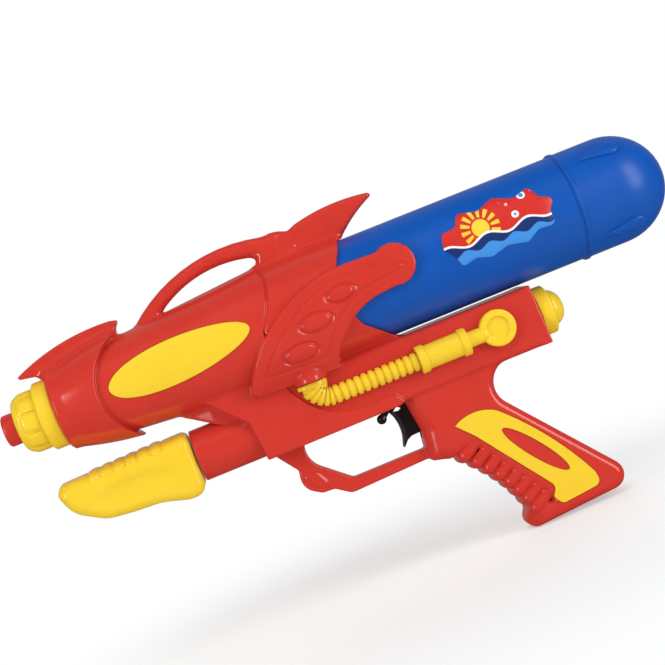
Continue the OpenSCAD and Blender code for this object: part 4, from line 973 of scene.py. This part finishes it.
picture = print_over(picture, "#FFFFFF", both(within(cells.outputs["Distance"], -1.0, 0.33, 0.03), bubbles))
picture = print_over(picture, "#3D8FE0", both(within(cells.outputs["Distance"], -1.0, 0.2, 0.03), bubbles))
vinyl = node(tree, "BsdfPrincipled", {"Roughness": 0.3, "IOR": 1.53, "Base Color": picture})
node(tree, "OutputMaterial", {"Surface": vinyl})
fit(shade(film, 60), "tank", printed, "tank_label")

# Pump: a red cylinder clamped under the barrel, with a white rod that the hand grip drives through a bush.
# The tube is moulded smooth and its front rim is eased.
cylinder = lathe("pump_tube",
    rounded([(13.8, 98.7, 0.2), (15.6, 98.7, 0.7), (15.6, 155.5, 0), (16.2, 155.5, 0.1), (16.2, 158.5, 0.1),
    (15.6, 158.5, 0), (15.6, 171.5, 0.2), (13.8, 171.5, 0)], 5), (0, z_pump), 120)
fit(shade(cylinder), "case", red_plastic, "pump_cylinder")
rod = lathe("pump_shaft",
    rounded([(0, 86.7, 0), (8.5, 86.7, 0.3), (8.5, 89.3, 0.3), (5, 89.3, 0.2), (5, 152.5, 0.3),
    (3, 152.5, 0.1), (3, 161.5, 0.3), (0, 161.5, 0)], 5), (0, z_pump), 72)
white_plastic = moulded("white_polypropylene", "#EDEBE4", "#E4E1D8", 0.4, 1.49)
fit(shade(rod), "pump", white_plastic, "pump_rod")

# Pump grip: two halves of yellow polystyrene round the end of the rod, held by two screws. The flanks are dished,
# and six rounded ribs along the top keep the fingers from slipping.
grip_clay = Clay((12, -19.5, -80), (101, 2.2, -35), 0.5)
x_slide = 97.7
slide_line = [(x_slide + x, z_pump + z)
    for x, z in rounded([(0, 18.7, 4.8), (-80, 16.2, 4), (-82.4, 9, 8), (-77, -3.5, 18), (-60, -13.6, 22),
    (-44, -15.4, 40), (-27, -16.4, 40), (-12, -21, 14), (0, -21.2, 7.5)], 16)]
grip_clay.add((12, 101, -80, -35),
    plate(slide_line, 16.8, lambda x, z: np.minimum(np.clip((100.5 - x) * 0.9, 5.0, 6.5),
    np.clip(6.5 + (z + 50) * 0.25, 6.0, 8.5))), 0.5)


def thumb_dish(x, y, z):
    """Depth of the leaning dish in the grip's side."""
    e = ((x - 62 - 0.5 * (z + 58)) / 22) ** 2 + ((z + 57.5 + 0.06 * (x - 62)) / 6.6) ** 2
    return 1.7 * np.exp(-e * e) * (y < -9)


def crown(x, y, z):
    """The arched top of the grip, which falls a little to the front."""
    return -36.6 - 0.0225 * (x_slide - x) - 4.6 * (y / 16.8) ** 2 - z


def finger_ribs(x, y, z):
    """Six round-ended ribs over the top, side by side in a shallow trough."""
    drop = z - 0.0225 * (x - 58.4)
    trough = 0.5 / (1 + np.exp((np.abs(x - 58.4) - 23.6) / 0.2)) / (1 + np.exp((-43.9 - drop) / 0.15))
    low = (np.maximum(-41.6 - drop, 0) / 2.6) ** 2
    ribs = [np.sqrt(np.maximum(1 - ((x - 39.4 - 7.6 * k) / 3.8) ** 2 - low, 0)) for k in range(6)]
    return trough - 1.4 * np.maximum.reduce(ribs)


grip_clay.press((34, 92, -72, -44), thumb_dish)
grip_clay.cut((12, 101, -55, -35), crown, 7.0)
grip_clay.press((30, 90, -49, -35), finger_ribs)
slide = cast("slide_grip_left", grip_clay, 1.2, 110000)
hollow_line = [(x_slide + x, z_pump + z)
    for x, z in rounded([(-14, 12.5, 2), (-74, 11.5, 3), (-75, 6, 3), (-48, -10, 6), (-14, -14, 2)])]
trim(slide, prism("grip_hollow", hollow_line, -12.5, 12.5),
    lathe("rod_hole", [(0, 77), (5.05, 77), (5.05, 105), (0, 105)], (0, z_pump)),
    prism("other_half", [(-50, -200), (200, -200), (200, 100), (-50, 100)], -0.02, 60))
slide_right = linked("slide_grip_right", flip(slide.data.copy()))
slide_spots = [(35.7, -61.4, 15.5), (73.7, -61.4, 15.5)]
take_screws(slide_right, slide_spots, 4.0)
polish(slide, grip_clay)
polish(slide_right, grip_clay, -1)
fit(slide, "pump", yellow_plastic, "pump_grip_left")
fit(slide_right, "pump", yellow_plastic, "pump_grip_right")

# Screws: zinc-plated steel self-tapping screws with pan heads and cross recesses, eight in the case and two in
# the pump grip, sunk in from the right.
def screw_tree():
    """Geometry nodes: a cross-recessed screw at each point."""
    tree, given = group("sunk_screws", ("Head radius", "Float"), ("Shank radius", "Float"), ("Metal", "Material"))
    wide = node(tree, "Math", {0: given.outputs["Head radius"], 1: 0.86}, operation="MULTIPLY")
    head = node(tree, "GeometryNodeMeshCone", {"Vertices": 32, "Side Segments": 3, "Depth": 1.8 * MM,
        "Radius Top": wide, "Radius Bottom": given.outputs["Head radius"]})
    bar = node(tree, "GeometryNodeMeshCube", {"Size": (3.4 * MM, 0.75 * MM, 1.6 * MM)})
    cross = node(tree, "GeometryNodeMeshCube", {"Size": (0.75 * MM, 3.4 * MM, 1.6 * MM)})
    raised = [node(tree, "GeometryNodeTransform", {"Translation": (0, 0, 1.7 * MM), "Geometry": b})
        for b in (bar, cross)]
    recess = node(tree, "GeometryNodeMeshBoolean", {"Mesh 1": head}, operation="DIFFERENCE", solver="EXACT")
    for b in raised:
        tree.links.new(b.outputs[0], recess.inputs["Mesh 2"])
    shank = node(tree, "GeometryNodeMeshCylinder",
        {"Vertices": 16, "Depth": 5.4 * MM, "Radius": given.outputs["Shank radius"]})
    low = node(tree, "GeometryNodeTransform", {"Translation": (0, 0, -2.6 * MM), "Geometry": shank})
    whole = node(tree, "GeometryNodeJoinGeometry")
    for part in (recess, low):
        tree.links.new(part.outputs[0], whole.inputs[0])
    laid = node(tree, "GeometryNodeTransform", {"Rotation": (radians(-90), 0, 0), "Geometry": whole})
    copies = node(tree, "GeometryNodeInstanceOnPoints", {"Points": given.outputs["Geometry"], "Instance": laid})
    return finished(tree, copies, given.outputs["Metal"])


# Zinc-plated steel: bright, and faintly clouded in its colour and gloss.
zinc = bpy.data.materials.new("zinc_plated_steel")
tree = emptied(zinc)
where = node(tree, "TexCoord")
cloud = node(tree, "TexNoise", {"Scale": 1000 / 1.5, "Detail": 3.0, "Vector": where.outputs["Object"]})
tint = node(tree, "Mix", {0: cloud.outputs["Fac"], 6: linear("#A9ABAE"), 7: linear("#CFD1D3")}, data_type="RGBA")
gloss = node(tree, "MapRange", {0: cloud.outputs["Fac"], 3: 0.26, 4: 0.42})
metal = node(tree, "BsdfPrincipled", {"Metallic": 1.0, "Base Color": tint.outputs[2], "Roughness": gloss})
node(tree, "OutputMaterial", {"Surface": metal})
sunk_screws = screw_tree()
for name, spots, body_name, stood_for in (("case_screw_set", screw_spots, "case", "case_screws"),
        ("slide_screw_set", slide_spots, "pump", "pump_grip_screws")):
    screws = mesh_object(name, [(x, 2.6, z) for x, z, _ in spots])
    grow(screws, sunk_screws, head_radius=2.7 * MM, shank_radius=1.15 * MM, metal=zinc)
    fit(shade(screws, 30), body_name, zinc, stood_for)

# Trigger: a black polypropylene blade that turns on a steel pin, with a raised rim round its dished sides, a prong
# with a ball in front, and a cam inside that pushes the valve stem.
trigger_clay = Clay((205, -4.2, -101), (237, 4.2, -48), 0.36)
blade_line = body([(38.6, -40.6)] + arc((40.2, -44), (41.4, -51), (40.2, -59), 8)
    + [(39, -62.6), (39.6, -63.2), (43, -59.6), (46, -58.2), (57, -57.6), (57, -48), (54, -30),
    (46, -30), (44, -36.5)])
trigger_clay.add((205, 237, -101, -48), plate(blade_line, 3.2, 0.8), 0.3)
blade_edge = outline(blade_line)


def blade_dish(x, y, z):
    """Depth of the blade's sides inside their rim."""
    return 0.9 / (1 + np.exp((blade_edge(x, z) + 1.5) / 0.16)) * (np.abs(y) > 1.5)


trigger_clay.press((205, 237, -101, -70), blade_dish)
pin_spot = (225.5, -64)
for spot, r, half in ((pin_spot, 4.6, 3.2), ((223.5, -52), 2.5, 2.9)):
    trigger_clay.add((205, 237, -101, -46), plate(capsule(spot, (spot[0] + 0.01, spot[1]), r), half, 0.4), 0.3)
trigger_clay.add((205, 237, -101, -46),
    plate(body([(46.4, -31), (46, -18), (50, -18), (53.6, -31)]), 2.6, 0.3), 0.3)
trigger_clay.cut((205, 237, -101, -60),
    plate(body([(40.4, -40.9), (43.6, -38.6), (46.2, -40.4), (44.4, -41.6)]), 9, 0.1), 0.4)
prong = capsule((x_step + 33, z_top - 42.6), (x_step + 42.4, z_top - 34.5), 1.9)
trigger_clay.add((203, 237, -90, -60), plate(prong, 2.0, 1.0), 0.5)
trigger_clay.add((203, 215, -90, -70), lambda x, y, z: np.sqrt((x - x_step - 33) ** 2 + y * y
    + (z - z_top + 42.6) ** 2) - 3.0, 0.6)
lever = mesh_object("trigger_blade", *trigger_clay.skin())
trim(lever, post("pin_hole", pin_spot, 2.06, -10, 10))
polish(lever, trigger_clay)
black_plastic = moulded("black_polypropylene", "#1D1918", "#161312", 0.34, 1.49, shine=0.8)
fit(lever, "trigger", black_plastic, "trigger")

# Valve spring: three turns of zinc-plated wire, wound on a mandrel, between the valve body and the flange of the
# stem. In the toy it shortens as the trigger pushes the stem in.
wire, coil, spring_from, spring_to, z_valve = 0.4, 4.2, 212.4, 217.7, z_top - 18
rows = []
for k in range(97):
    turn = 2 * pi * 3 * k / 96
    rows.append([(spring_from + (spring_to - spring_from) * k / 96 + wire * sin(a),
        (coil + wire * cos(a)) * cos(turn), z_valve + (coil + wire * cos(a)) * sin(turn)) for a in turns(10)])
spring = shade(lofted("valve_coil", rows), 60)
fit(spring, "case", zinc, "valve_spring")
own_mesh(spring)

# Inner parts: the spigot, lines, valve, socket and pump fittings, moulded in white polypropylene, soft vinyl tube
# or rubber, and the trigger's pin of steel rod. They keep the shape they were drawn in.
soft_vinyl = moulded("milky_vinyl_tube", "#DCE3E2", "#D2DAD9", 0.3, 1.53)
black_rubber = moulded("black_nitrile_rubber", "#1E1E1F", "#171718", 0.6, 1.52)
for material, names in ((white_plastic, ("nozzle_spigot", "valve_body", "valve_stem", "tank_socket",
        "pump_bush", "pump_head", "piston")),
        (soft_vinyl, ("water_line", "feed_line", "air_line", "pickup_tube")),
        (black_rubber, ("nozzle_washer", "valve_seal", "tank_gasket", "check_valve", "piston_ring")),
        (zinc, ("trigger_pin",))):
    for name in names:
        for spot in bpy.data.objects[name].material_slots:
            spot.material = material

low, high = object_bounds()
